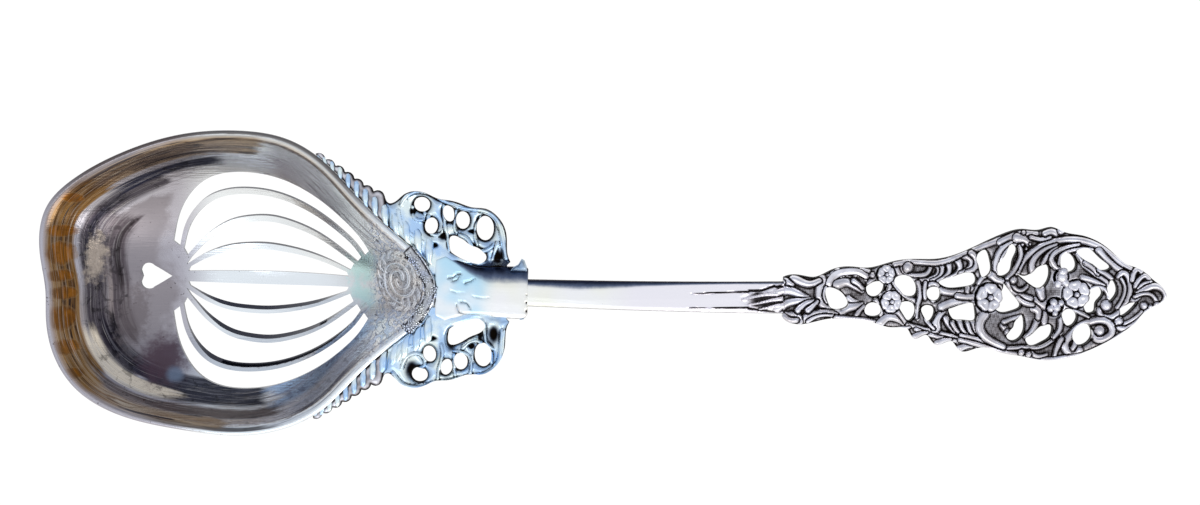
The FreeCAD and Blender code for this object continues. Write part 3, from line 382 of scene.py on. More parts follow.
def smooth_range(tree, value, low, high, out_low=0.0, out_high=1.0):
    node = add(
        tree, "ShaderNodeMapRange",
        {"Value": value, "From Min": low, "From Max": high, "To Min": out_low, "To Max": out_high},
        interpolation_type="SMOOTHSTEP")
    return node.outputs["Result"]


def mixed(tree, share, first, second, blend="MIX"):
    node = tree.nodes.new("ShaderNodeMix")
    node.data_type = "RGBA"
    node.blend_type = blend
    for socket, value in ((node.inputs[0], share), (node.inputs[6], first), (node.inputs[7], second)):
        if isinstance(value, bpy.types.NodeSocket):
            tree.links.new(value, socket)
        else:
            socket.default_value = value
    return node.outputs[2]


def noise(tree, vector, scale, detail=3.0, roughness=0.55, distortion=0.0):
    node = add(
        tree, "ShaderNodeTexNoise",
        {"Vector": vector, "Scale": scale, "Detail": detail, "Roughness": roughness, "Distortion": distortion})
    return node.outputs["Fac"]


def oxide_group():
    """Black oxide left in the hollows of ornament, broken up by uneven polishing."""
    tree, source, result = group_tree(
        "Oxide In Hollows",
        (("Vector", "Vector", None), ("Polish", "Float", 1.0), ("Silver", "Color", (0.8, 0.8, 0.8, 1)),
         ("Oxide", "Color", (0.006, 0.004, 0.003, 1)), ("Shade", "Color", (0.06, 0.048, 0.05, 1)),
         ("Unevenness", "Float", 0.25), ("Grain", "Float", 900.0)),
        (("Color", "Color"), ("Roughness", "Float"), ("Bright", "Float")))
    speckle = noise(tree, source.outputs["Vector"], source.outputs["Grain"], 4.0, 0.6)
    drift = maths(tree, "SUBTRACT", speckle, 0.5)
    drift = maths(tree, "MULTIPLY", drift, source.outputs["Unevenness"])
    polish = maths(tree, "ADD", source.outputs["Polish"], drift, True)
    bright = smooth_range(tree, polish, 0.15, 0.70)
    brown = mixed(tree, smooth_range(tree, polish, 0.02, 0.4), source.outputs["Oxide"], source.outputs["Shade"])
    colour = mixed(tree, bright, brown, source.outputs["Silver"])
    roughness = smooth_range(tree, bright, 0.0, 1.0, 0.6, 0.26)
    tree.links.new(colour, result.inputs["Color"])
    tree.links.new(roughness, result.inputs["Roughness"])
    tree.links.new(bright, result.inputs["Bright"])
    return tree


def scratch_group():
    """Hair-fine polishing scratches in two directions, as a height and a roughness change."""
    tree, source, result = group_tree(
        "Polishing Scratches",
        (("Vector", "Vector", None), ("Fineness", "Float", 1.0), ("Dents", "Float", 0.4)),
        (("Height", "Float"), ("Rub", "Float")))
    rubs = []
    for angle, stretch in ((0.35, (60, 2600, 900)), (-0.6, (90, 3200, 900))):
        turned = add(
            tree, "ShaderNodeMapping",
            {"Vector": source.outputs["Vector"], "Rotation": (0, 0, angle), "Scale": stretch})
        rubs.append(noise(tree, turned.outputs[0], source.outputs["Fineness"], 2.0, 0.5))
    rub = maths(tree, "MULTIPLY", rubs[0], rubs[1])
    dents = noise(tree, source.outputs["Vector"], 150.0, 1.0, 0.4)
    height = maths(tree, "ADD", maths(tree, "MULTIPLY", rub, 0.25),
                   maths(tree, "MULTIPLY", dents, source.outputs["Dents"]))
    tree.links.new(height, result.inputs["Height"])
    tree.links.new(rub, result.inputs["Rub"])
    return tree


def film_group():
    """A grey film with small dark specks, heavier where Amount is high."""
    tree, source, result = group_tree(
        "Grey Film And Specks",
        (("Vector", "Vector", None), ("Amount", "Float", 0.5), ("Base", "Color", (0.8, 0.8, 0.8, 1)),
         ("Film", "Color", (0.42, 0.40, 0.44, 1)), ("Specks", "Float", 0.5)),
        (("Color", "Color"), ("Film Share", "Float")))
    cloud = noise(tree, source.outputs["Vector"], 130.0, 5.0, 0.62, 0.4)
    cloud = maths(tree, "ADD", cloud, maths(tree, "SUBTRACT", source.outputs["Amount"], 0.5))
    share = smooth_range(tree, cloud, 0.38, 0.72)
    colour = mixed(tree, share, source.outputs["Base"], source.outputs["Film"])
    grains = noise(tree, source.outputs["Vector"], 1500.0, 3.0, 0.7)
    patches = noise(tree, source.outputs["Vector"], 210.0, 2.0, 0.5)
    grains = maths(tree, "ADD", grains, maths(tree, "MULTIPLY", patches, 0.35))
    level = maths(tree, "SUBTRACT", 0.98, maths(tree, "MULTIPLY", source.outputs["Specks"], 0.16))
    specks = smooth_range(tree, maths(tree, "SUBTRACT", grains, level), -0.02, 0.03)
    colour = mixed(tree, specks, colour, (0.10, 0.085, 0.09, 1))
    tree.links.new(colour, result.inputs["Color"])
    tree.links.new(share, result.inputs["Film Share"])
    return tree


def patch_group():
    """An oval patch with a ragged edge, and the thin line round it."""
    tree, source, result = group_tree(
        "Ragged Patch",
        (("Vector", "Vector", None), ("Place", "Vector", None), ("Reach", "Vector", None), ("Turn", "Float", 0.0),
         ("Edge", "Float", 0.12), ("Raggedness", "Float", 0.2)),
        (("Mask", "Float"), ("Line", "Float")))
    away = add(tree, "ShaderNodeVectorMath", {0: source.outputs["Vector"], 1: source.outputs["Place"]},
               operation="SUBTRACT").outputs[0]
    turned = add(tree, "ShaderNodeVectorRotate", {"Vector": away, "Angle": source.outputs["Turn"]}).outputs[0]
    share = add(tree, "ShaderNodeVectorMath", {0: turned, 1: source.outputs["Reach"]}, operation="DIVIDE")
    reach = add(tree, "ShaderNodeVectorMath", {0: share.outputs[0]}, operation="LENGTH").outputs["Value"]
    ragged = maths(tree, "SUBTRACT", noise(tree, source.outputs["Vector"], 650.0, 5.0, 0.65), 0.5)
    reach = maths(tree, "ADD", reach, maths(tree, "MULTIPLY", ragged, maths(
        tree, "MULTIPLY", source.outputs["Raggedness"], 4.0)))
    inner = maths(tree, "SUBTRACT", 1.0, source.outputs["Edge"])
    outer = maths(tree, "ADD", 1.0, source.outputs["Edge"])
    mask = smooth_range(tree, reach, inner, outer, 1.0, 0.0)
    off_line = maths(tree, "ABSOLUTE", maths(tree, "SUBTRACT", reach, 1.12))
    line = smooth_range(tree, off_line, 0.0, 0.14, 1.0, 0.0)
    tree.links.new(mask, result.inputs["Mask"])
    tree.links.new(line, result.inputs["Line"])
    return tree


def arc_group():
    """A band up the bowl's wall, over part of the way round, with streaked ends."""
    tree, source, result = group_tree(
        "Wall Arc",
        (("Around", "Vector", None), ("Ring", "Float", 0.5), ("Heading", "Vector", None), ("Spread", "Float", 0.9),
         ("Inner", "Float", 0.6), ("Outer", "Float", 0.8), ("Softness", "Float", 0.02), ("Streaks", "Float", 0.5)),
        (("Mask", "Float"),))
    facing = add(tree, "ShaderNodeVectorMath", {0: source.outputs["Around"], 1: source.outputs["Heading"]},
                 operation="DOT_PRODUCT").outputs["Value"]
    wobble = maths(tree, "SUBTRACT", source.outputs["Streaks"], 0.5)
    facing = maths(tree, "ADD", facing, maths(tree, "MULTIPLY", wobble, 0.25))
    round_share = smooth_range(tree, facing, source.outputs["Spread"], maths(
        tree, "ADD", source.outputs["Spread"], 0.07))
    ring = maths(tree, "ADD", source.outputs["Ring"], maths(tree, "MULTIPLY", wobble, 0.05))
    soft = source.outputs["Softness"]
    rising = smooth_range(tree, ring, maths(tree, "SUBTRACT", source.outputs["Inner"], soft),
                          maths(tree, "ADD", source.outputs["Inner"], soft))
    falling = smooth_range(tree, ring, maths(tree, "SUBTRACT", source.outputs["Outer"], soft),
                           maths(tree, "ADD", source.outputs["Outer"], soft), 1.0, 0.0)
    mask = maths(tree, "MULTIPLY", maths(tree, "MULTIPLY", rising, falling), round_share)
    tree.links.new(mask, result.inputs["Mask"])
    return tree


OXIDE, SCRATCHES, FILM = oxide_group(), scratch_group(), film_group()
PATCH, ARC = patch_group(), arc_group()


def placed(tree, group, values):
    node = tree.nodes.new("ShaderNodeGroup")
    node.node_tree = group
    for label, value in values.items():
        if isinstance(value, bpy.types.NodeSocket):
            tree.links.new(value, node.inputs[label])
        else:
            node.inputs[label].default_value = value
    return node


def silver_material(name):
    material = bpy.data.materials.new(name)
    material.use_nodes = True
    tree = material.node_tree
    shader = tree.nodes["Principled BSDF"]
    shader.inputs["Metallic"].default_value = 1.0
    place = tree.nodes.new("ShaderNodeTexCoord").outputs["Object"]
    return material, tree, shader, place


def value_of(tree, label):
    return add(tree, "ShaderNodeAttribute", attribute_name=label).outputs["Fac"]


def bump(tree, shader, height, strength, distance):
    node = add(tree, "ShaderNodeBump", {"Height": height, "Strength": strength, "Distance": distance})
    tree.links.new(node.outputs[0], shader.inputs["Normal"])


def chased_lines(tree, place, size, middle, half):
    """Thin curling lines, dark on one, as cut by a chasing tool."""
    curl = noise(tree, place, size, 1.0, 0.4, 3.2)
    away = maths(tree, "ABSOLUTE", maths(tree, "SUBTRACT", curl, middle))
    return curl, smooth_range(tree, away, 0.25 * half, half, 1.0, 0.0)


def ornament_silver(name, silver=seen(0.78, 0.77, 0.79), unevenness=0.22, light=seen(0.89, 0.89, 0.92),
                    shade=(0.06, 0.048, 0.05, 1), chasing=0.0):
    material, tree, shader, place = silver_material(name)
    tone = mixed(tree, smooth_range(tree, noise(tree, place, 260.0, 2.0), 0.35, 0.65), silver, light)
    polish = value_of(tree, "polish")
    if chasing:
        lines = chased_lines(tree, place, 620.0, 0.49, 0.035)[1]
        polish = maths(tree, "SUBTRACT", polish, maths(tree, "MULTIPLY", lines, chasing), True)
    oxide = placed(tree, OXIDE, {
        "Vector": place, "Polish": polish, "Silver": tone, "Shade": shade, "Unevenness": unevenness})
    tree.links.new(oxide.outputs["Color"], shader.inputs["Base Color"])
    tree.links.new(oxide.outputs["Roughness"], shader.inputs["Roughness"])
    scratches = placed(tree, SCRATCHES, {"Vector": place, "Dents": 0.5})
    bump(tree, shader, scratches.outputs["Height"], 0.15, 0.0001)
    return material


def bright_silver(name):
    """The hand-polished neck, collar and shank: pale, with a warm cast and fine scratches, and a painted reflection
    that darkens the bevel to blue and navy.
    """
    material, tree, shader, place = silver_material(name)
    along = add(tree, "ShaderNodeSeparateXYZ", {"Vector": place}).outputs["X"]
    warm = smooth_range(tree, along, -0.0265, -0.0215)
    cloudy = smooth_range(tree, noise(tree, place, 95.0, 2.0), 0.35, 0.65)
    cold_tone = mixed(tree, cloudy, seen(0.72, 0.86, 0.98), seen(0.93, 0.95, 0.97))
    warm_tone = mixed(tree, cloudy, seen(0.95, 0.93, 0.89), seen(0.96, 0.95, 0.94))
    lilac = smooth_range(tree, along, -0.002, 0.006)
    warm_tone = mixed(tree, lilac, warm_tone, seen(0.92, 0.91, 0.94))
    tone = mixed(tree, warm, cold_tone, warm_tone)
    film = placed(tree, FILM, {
        "Vector": place, "Amount": 0.2, "Base": tone, "Film": seen(0.80, 0.80, 0.82), "Specks": 0.12})
    # Painted reflection: over the bevel, broken up by grain, the silver darkens to blue and then navy, as if it
    # mirrored a dim room
    grain = maths(tree, "SUBTRACT", noise(tree, place, 700.0, 4.0, 0.65), 0.5)
    bevel = maths(tree, "ADD", value_of(tree, "bevel"), maths(tree, "MULTIPLY", grain, 0.3))
    shaded = mixed(tree, smooth_range(tree, bevel, 0.10, 0.55), film.outputs["Color"], seen(0.42, 0.47, 0.57))
    shaded = mixed(tree, smooth_range(tree, bevel, 0.35, 0.90), shaded, seen(0.13, 0.15, 0.22))
    oxide = placed(tree, OXIDE, {
        "Vector": place, "Polish": value_of(tree, "polish"), "Silver": shaded, "Unevenness": 0.2})
    scratches = placed(tree, SCRATCHES, {"Vector": place, "Dents": 0.35})
    tree.links.new(oxide.outputs["Color"], shader.inputs["Base Color"])
    rough = maths(tree, "ADD", oxide.outputs["Roughness"],
                  maths(tree, "MULTIPLY", scratches.outputs["Rub"], 0.12))
    tree.links.new(rough, shader.inputs["Roughness"])
    bump(tree, shader, scratches.outputs["Height"], 0.25, 0.0002)
    return material


def streaks(tree, ring, around, across, along, distortion):
    """Noise drawn out along the bowl's wall, so that its bands follow the rim."""
    swirl = add(tree, "ShaderNodeVectorMath", {0: around, 1: (along, along, 0)}, operation="MULTIPLY").outputs[0]
    outward = add(tree, "ShaderNodeCombineXYZ", {"Z": maths(tree, "MULTIPLY", ring, across)}).outputs[0]
    swirl = add(tree, "ShaderNodeVectorMath", {0: swirl, 1: outward}, operation="ADD").outputs[0]
    return noise(tree, swirl, 1.0, 4.0, 0.6, distortion)


# Bands on the bowl's wall, painted reflections of a dim room and a bright window with one thin painted highlight:
# heading and spread in degrees, from and to in shares of the way to the rim, softness, colour and strength
WALL_REFLECTION_BANDS = (
    (180, 36, 0.565, 0.80, 0.02, (0.29, 0.26, 0.28), 0.92),
    (176, 58, 0.70, 0.80, 0.02, (0.26, 0.24, 0.27), 0.92),
    (170, 22, 0.60, 0.625, 0.008, (0.17, 0.15, 0.16), 0.85),
    (-172, 20, 0.655, 0.68, 0.008, (0.56, 0.52, 0.52), 0.8),
    (154, 10, 0.685, 0.705, 0.008, (0.80, 0.79, 0.80), 0.85),
    (117, 30, 0.770, 0.828, 0.010, (0.15, 0.16, 0.24), 0.95),
    (160, 24, 0.735, 0.775, 0.010, (0.13, 0.13, 0.17), 0.8),
    (-166, 14, 0.80, 0.835, 0.010, (0.50, 0.44, 0.40), 0.7),
    (-142, 22, 0.655, 0.745, 0.015, (0.12, 0.11, 0.15), 0.92),
    (-100, 36, 0.675, 0.835, 0.015, (0.15, 0.155, 0.21), 0.96),
    (-134, 27, 0.765, 0.835, 0.012, (0.88, 0.83, 0.75), 1.0),
    (-105, 45, 0.85, 0.90, 0.010, (0.30, 0.24, 0.22), 0.85),
    (-85, 22, 0.90, 0.93, 0.006, (0.78, 0.74, 0.70), 0.8),
    (-92, 30, 0.945, 0.97, 0.006, (0.17, 0.15, 0.16), 0.85),
    (-40, 30, 0.72, 0.86, 0.02, (0.68, 0.80, 0.98), 0.9),
    (-34, 30, 0.87, 0.92, 0.01, (0.80, 0.86, 0.95), 0.7),
    (-56, 8, 0.86, 0.91, 0.015, (0.44, 0.38, 0.36), 0.8),
    (-44, 20, 0.925, 0.94, 0.006, (0.36, 0.38, 0.46), 0.8),
)
# Golden bands under the rim, deepest at the tip: a painted reflection of a warm brown surround
WARM_REFLECTION_BANDS = (
    (118, 46, 0.848, 1.0, 0.008, 0.9),
    (62, 50, 0.935, 0.985, 0.006, 0.7),
    (-120, 36, 0.90, 0.99, 0.010, 0.9),
    (180, 42, 0.832, 1.0, 0.008, 1.0),
)
# Oval amber spots at the tip, a painted warm reflection: place and reach in millimetres
TIP_REFLECTION_SPOTS = (
    ((-110.3, 9.6), (2.7, 1.1)), ((-110.6, 5.1), (2.6, 2.1)), ((-110.6, 0.6), (2.6, 1.1)),
    ((-109.9, -2.9), (2.4, 1.2)), ((-110.3, -8.0), (2.7, 2.4)), ((-109.6, -13.8), (2.6, 1.5)),
    ((-107.8, 16.4), (1.8, 0.9)), ((-107.6, -19.0), (2.0, 1.0)),
)
# Patches on the floor: place, reach, turn, raggedness, colour, strength; the three pale blue ones by the heel are a
# painted reflection of the sky
FLOOR_PATCHES_AND_REFLECTIONS = (
    ((-104.3, 3.9), (1.7, 4.2), 0.1, 0.7, (0.70, 0.65, 0.60), 0.8),
    ((-90.6, -17.0), (4.4, 4.4), 0.5, 0.35, (0.33, 0.26, 0.30), 0.9),
    ((-88.0, -19.6), (1.7, 1.3), 0.2, 0.2, (0.46, 0.52, 0.60), 0.8),
    ((-97.0, -8.5), (2.6, 6.0), 0.15, 0.7, (0.40, 0.37, 0.38), 0.6),
    ((-49.2, 3.6), (3.8, 2.9), -0.4, 0.5, (0.80, 0.93, 1.0), 1.0),
    ((-48.6, -2.8), (4.0, 1.8), 0.5, 0.5, (0.80, 0.93, 1.0), 1.0),
    ((-44.6, -8.6), (2.8, 1.6), 0.9, 0.5, (0.72, 0.86, 1.0), 0.9),
)


def bowl_silver(name):
    """Polished bowl: grey film on the floor; dark, pale and golden bands up the wall that are painted reflections;
    painted shade on the cut walls and outside the far rim.
    """
    material, tree, shader, place = silver_material(name)
    ring, inner, cut = value_of(tree, "ring"), value_of(tree, "inner"), value_of(tree, "cut")
    toward_tip = value_of(tree, "tipward")
    around = add(tree, "ShaderNodeCombineXYZ", {
        "X": value_of(tree, "around_x"), "Y": value_of(tree, "around_y")}).outputs[0]
    wall = streaks(tree, ring, around, 22.0, 1.3, 0.6)
    fine = streaks(tree, ring, around, 75.0, 2.0, 0.9)
    floor_share = smooth_range(tree, ring, 0.62, 0.74, 1.0, 0.0)
    amount = maths(tree, "MULTIPLY", floor_share, smooth_range(tree, toward_tip, 0.58, 0.78, 0.12, 0.9))
    silver = mixed(tree, smooth_range(tree, toward_tip, 0.56, 0.68), seen(0.90, 0.92, 0.95), seen(0.69, 0.68, 0.71))
    film = placed(tree, FILM, {
        "Vector": place, "Amount": amount, "Base": silver,
        "Film": seen(0.55, 0.53, 0.55), "Specks": maths(tree, "MULTIPLY", toward_tip, 0.9)})
    colour = film.outputs["Color"]
    # long grey lines in the bright wall
    hair = streaks(tree, ring, around, 210.0, 2.6, 0.5)
    on_wall = smooth_range(tree, ring, 0.62, 0.76)
    lines = maths(tree, "MULTIPLY", smooth_range(tree, fine, 0.56, 0.64), on_wall)
    colour = mixed(tree, maths(tree, "MULTIPLY", lines, 0.7), colour, seen(0.54, 0.53, 0.56))
    mottle = noise(tree, place, 480.0, 5.0, 0.7, 0.6)
    # Painted reflections up the wall: dark bands of a dim room, pale and blue ones of a bright window, and a thin
    # painted highlight, streaked and mottled
    for heading, spread, low, high, soft, tone, strength in WALL_REFLECTION_BANDS:
        arc = wall_arc(tree, around, ring, wall, heading, spread, low, high, soft)
        paler = seen(*(0.65 * share + 0.24 for share in tone))
        darker = seen(*(0.72 * share for share in tone))
        streaked = mixed(tree, smooth_range(tree, fine, 0.48, 0.64), seen(*tone), paler)
        streaked = mixed(tree, smooth_range(tree, mottle, 0.52, 0.62), streaked, darker)
        colour = mixed(tree, maths(tree, "MULTIPLY", arc, strength), colour, streaked)
    # Painted warm reflection under the rim: golden, paler away from the tip, streaked pale and dark
    warm_reflection_tone = mixed(tree, smooth_range(tree, wall, 0.38, 0.60), seen(0.33, 0.23, 0.14), seen(0.52, 0.39, 0.23))
    off_tip = smooth_range(tree, toward_tip, 0.78, 0.90, 1.0, 0.25)
    pale_streak = maths(tree, "MULTIPLY", smooth_range(tree, fine, 0.52, 0.60), off_tip)
    far_warm_reflection = mixed(tree, smooth_range(tree, wall, 0.38, 0.60), seen(0.46, 0.39, 0.33), seen(0.68, 0.60, 0.50))
    warm_reflection_tone = mixed(tree, smooth_range(tree, toward_tip, 0.74, 0.86, 0.8, 0.0), warm_reflection_tone, far_warm_reflection)
    warm_reflection_tone = mixed(tree, pale_streak, warm_reflection_tone, seen(0.70, 0.64, 0.56))
    warm_reflection_tone = mixed(tree, smooth_range(tree, fine, 0.38, 0.46, 1.0, 0.0), warm_reflection_tone, seen(0.20, 0.16, 0.15))
    for heading, spread, low, high, soft, strength in WARM_REFLECTION_BANDS:
        arc = wall_arc(tree, around, ring, wall, heading, spread, low, high, soft)
        arc = maths(tree, "MULTIPLY", arc, strength)
        colour = mixed(tree, maths(tree, "MULTIPLY", arc, inner), colour, warm_reflection_tone)
    # Painted warm reflection at the tip: amber ovals, each with a pale line round it
    amber_reflection = mixed(tree, smooth_range(tree, noise(tree, place, 330.0, 4.0), 0.35, 0.62), seen(0.44, 0.27, 0.08),
                  seen(0.58, 0.37, 0.12))
    amber_reflection = mixed(tree, smooth_range(tree, wall, 0.50, 0.56), amber_reflection, seen(0.38, 0.25, 0.12))
    for spot, reach in TIP_REFLECTION_SPOTS:
        patch = spot_patch(tree, place, spot, reach, 0.0, 0.32, 0.2)
        share = maths(tree, "MULTIPLY", patch.outputs["Mask"], 0.85)
        colour = mixed(tree, maths(tree, "MULTIPLY", share, inner), colour, amber_reflection)
        line = maths(tree, "MULTIPLY", patch.outputs["Line"], smooth_range(tree, hair, 0.40, 0.58, 0.05, 0.35))
        colour = mixed(tree, maths(tree, "MULTIPLY", line, inner), colour, seen(0.60, 0.50, 0.37))
    rub = maths(tree, "MULTIPLY", maths(tree, "MULTIPLY", smooth_range(tree, hair, 0.54, 0.66), on_wall), inner)
    colour = mixed(tree, maths(tree, "MULTIPLY", rub, 0.6), colour, (0.42, 0.40, 0.40, 1), "MULTIPLY")
    shine = maths(tree, "MULTIPLY", maths(tree, "MULTIPLY", smooth_range(tree, hair, 0.34, 0.44, 1.0, 0.0), on_wall), inner)
    colour = mixed(tree, maths(tree, "MULTIPLY", shine, 0.35), colour, seen(0.80, 0.78, 0.76))
    # Floor patches; the pale blue ones by the heel are a painted reflection
    for spot, reach, turn, ragged, tone, strength in FLOOR_PATCHES_AND_REFLECTIONS:
        patch = spot_patch(tree, place, spot, reach, turn, 0.5, ragged)
        share = maths(tree, "MULTIPLY", patch.outputs["Mask"], strength)
        colour = mixed(tree, maths(tree, "MULTIPLY", share, inner), colour, seen(*tone))
    # chased curls over the heel, up to the slots
    chased = maths(tree, "MULTIPLY", smooth_range(tree, toward_tip, 0.15, 0.19, 1.0, 0.0), inner)
    curl, cuts = chased_lines(tree, place, 380.0, 0.48, 0.03)
    ground = mixed(tree, smooth_range(tree, curl, 0.38, 0.60), seen(0.78, 0.82, 0.90), seen(0.94, 0.97, 1.0))
    colour = mixed(tree, maths(tree, "MULTIPLY", chased, 0.75), colour, ground)
    cuts = maths(tree, "MULTIPLY", cuts, chased)
    colour = mixed(tree, maths(tree, "MULTIPLY", cuts, 0.8), colour, seen(0.32, 0.32, 0.38))
    # Painted shade: the upright walls of the slots and heart are made dark
    colour = mixed(tree, cut, colour, seen(0.13, 0.14, 0.19))
    # Painted shadow: a dark brown line on the outside, just under the far (north) rim
    back = maths(tree, "SUBTRACT", 1.0, inner, True)
    far_rim_shadow = smooth_range(tree, add(tree, "ShaderNodeSeparateXYZ", {"Vector": around}).outputs["Y"], 0.2, 0.7)
    far_rim_shadow = maths(tree, "MULTIPLY", maths(tree, "MULTIPLY", back, far_rim_shadow), smooth_range(tree, ring, 0.96, 0.985))
    colour = mixed(tree, maths(tree, "MULTIPLY", far_rim_shadow, 0.85), colour, seen(0.27, 0.22, 0.19))
    tree.links.new(colour, shader.inputs["Base Color"])
    rough = smooth_range(tree, film.outputs["Film Share"], 0.0, 1.0, 0.2, 0.36)
    tree.links.new(rough, shader.inputs["Roughness"])
    scratches = placed(tree, SCRATCHES, {"Vector": place, "Dents": 0.7})
    crinkle = maths(tree, "MULTIPLY", noise(tree, place, 520.0, 4.0, 0.6, 0.8), value_of(tree, "crinkle"))
    height = maths(tree, "ADD", scratches.outputs["Height"], maths(tree, "MULTIPLY", crinkle, 2.2))
    height = maths(tree, "SUBTRACT", height, maths(tree, "MULTIPLY", cuts, 0.8))
    bump(tree, shader, height, 0.4, 0.0004)
    return material


def wall_arc(tree, around, ring, wall, heading, spread, low, high, soft):
    turn = math.radians(heading)
    return placed(tree, ARC, {
        "Around": around, "Ring": ring, "Heading": (math.cos(turn), math.sin(turn), 0),
        "Spread": math.cos(math.radians(spread)), "Inner": low, "Outer": high, "Softness": soft,
        "Streaks": wall}).outputs["Mask"]


def spot_patch(tree, place, spot, reach, turn, edge, ragged):
    return placed(tree, PATCH, {
        "Vector": place, "Place": (spot[0] * MM, spot[1] * MM, 0), "Reach": (reach[0] * MM, reach[1] * MM, 1.0),
        "Turn": turn, "Edge": edge, "Raggedness": ragged})


ORNAMENT = ornament_silver("Oxidised Ornament Silver")
FLOWERS = ornament_silver("Blossom Silver", seen(0.80, 0.80, 0.83), 0.12)
HEEL_ORNAMENT = ornament_silver(
    "Heel Ornament Silver", seen(0.68, 0.80, 0.96), 0.25, seen(0.88, 0.93, 0.97), (0.035, 0.045, 0.08, 1))
CARTOUCHE = ornament_silver(
    "Chased Cartouche Silver", seen(0.86, 0.89, 0.96), 0.3, seen(0.95, 0.98, 1.0), (0.14, 0.14, 0.18, 1), 0.4)
BLOSSOM_BED = ornament_silver(
    "Tiny Blossom Silver", seen(0.80, 0.84, 0.92), 0.3, seen(0.92, 0.95, 1.0), (0.06, 0.055, 0.075, 1))
BRIGHT = bright_silver("Bright Silver")
BOWL = bowl_silver("Bowl Silver")


# Bowl

RIM_SHARES = (
    (0.016, -0.08), (0.001, 0.18), (0.020, 0.48), (0.087, 0.66), (0.205, 0.835), (0.354, 0.965),
    (0.503, 1.00), (0.627, 0.95), (0.708, 0.83), (0.801, 0.59), (0.901, 0.345), (0.970, 0.18),
    (1.000, 0.00),
    (0.970, -0.18), (0.901, -0.345), (0.801, -0.585), (0.708, -0.825), (0.627, -0.935),
    (0.491, -0.995), (0.354, -0.965), (0.205, -0.885), (0.087, -0.705), (0.031, -0.46),
    (0.017, -0.245),
)
BLUNT_PROFILE_SHARES = (
    (0.0, 0.33), (0.03, 0.57), (0.08, 0.75), (0.16, 0.90), (0.26, 0.98), (0.38, 1.0),
    (0.54, 0.955), (0.68, 0.85), (0.80, 0.71), (0.89, 0.57), (0.96, 0.43), (1.0, 0.31),
)
LEAN_PROFILE_SHARES = (
    (0.0, 0.33), (0.04, 0.46), (0.09, 0.61), (0.16, 0.77), (0.25, 0.91), (0.38, 0.99),
    (0.48, 1.0), (0.60, 0.94), (0.70, 0.85), (0.80, 0.72), (0.90, 0.54), (1.0, 0.33),
)
SLAT_SHARES = (
    (0.215, 0.350, 0.765, LEAN_PROFILE_SHARES),
    (0.405, 0.352, 0.785, LEAN_PROFILE_SHARES),
    (0.590, 0.334, 0.805, BLUNT_PROFILE_SHARES),
)
SLOT_FIELD_SHARES = (0.718, 0.313, 0.822, BLUNT_PROFILE_SHARES)
SLAT_HALF, CENTRE_SLAT_HALF, CENTRE_END_SHARE, SLAT_END_SHARE = 0.75, 1.35, 0.8, 0.5
RIM_POINTS = 420
INNER_SCALE = 1 - BOWL_WALL / BOWL_HALF
RIM_LINE = spline(
    [(TIP_X + along * BOWL_LENGTH, across * BOWL_HALF) for along, across in RIM_SHARES], RIM_POINTS, closed=True)


def depth_share(ring):
    foot = FOOT_SHARE ** DISH_POWER
    return np.clip((ring ** DISH_POWER - foot) / (1 - foot), 0, None)


def bowl_ring(ring, scale, floor, sink=0.0):
    centre = np.array([DISH_CENTRE_X, 0.0])
    flat = centre + (RIM_LINE - centre) * ring * scale
    height = floor + (rim_height(RIM_LINE[:, 0]) - floor) * depth_share(ring) - sink
    return np.column_stack([flat, height])


def ring_and_turn(x, y):
    """Where a place lies in the bowl: its share of the way out to the rim, and its angle."""
    angles = np.arctan2(RIM_LINE[:, 1], RIM_LINE[:, 0] - DISH_CENTRE_X)
    reaches = np.hypot(RIM_LINE[:, 0] - DISH_CENTRE_X, RIM_LINE[:, 1])
    order = np.argsort(angles)
    angle = np.arctan2(y, x - DISH_CENTRE_X)
    reach = np.interp(angle, angles[order], reaches[order], period=math.tau)
    return np.hypot(x - DISH_CENTRE_X, y) / reach, angle / math.tau


def floor_height(x, y):
    """Height of the bowl's inner surface."""
    ring, turn = ring_and_turn(x, y)
    angle = turn * math.tau
    angles = np.arctan2(RIM_LINE[:, 1], RIM_LINE[:, 0] - DISH_CENTRE_X)
    order = np.argsort(angles)
    rim_x = np.interp(angle, angles[order], RIM_LINE[order, 0], period=math.tau)
    return BOWL_WALL + (rim_height(rim_x) - BOWL_WALL) * depth_share(ring / INNER_SCALE)


def slat_edge(reach_share, left_share, right_share, profile, step, side):
    reach = reach_share * BOWL_HALF + step
    left = TIP_X + left_share * BOWL_LENGTH - step * SLAT_END_SHARE
    right = TIP_X + right_share * BOWL_LENGTH + step * SLAT_END_SHARE
    return spline([(left + (right - left) * along, side * reach * across) for along, across in profile], 64)


def slot_outlines():
    first = SLAT_SHARES[0]
    left, right = TIP_X + first[1] * BOWL_LENGTH, TIP_X + first[2] * BOWL_LENGTH
    end_half = CENTRE_SLAT_HALF * CENTRE_END_SHARE
    outlines = []
    for side in (1, -1):
        inner = spline([(left, side * end_half), ((left + right) / 2, side * CENTRE_SLAT_HALF),
                        (right, side * end_half)], 40)
        for shares in SLAT_SHARES:
            outlines.append(np.vstack([inner, slat_edge(*shares, -SLAT_HALF, side)[::-1]]))
            inner = slat_edge(*shares, SLAT_HALF, side)
        outlines.append(np.vstack([inner, slat_edge(*SLOT_FIELD_SHARES, 0.0, side)[::-1]]))
    return outlines


HEART_X = TIP_X + 0.252 * BOWL_LENGTH
HEART_LOBE, HEART_LOBE_SHARE, HEART_POINT_SHARE = 1.5, 0.80, 3.1


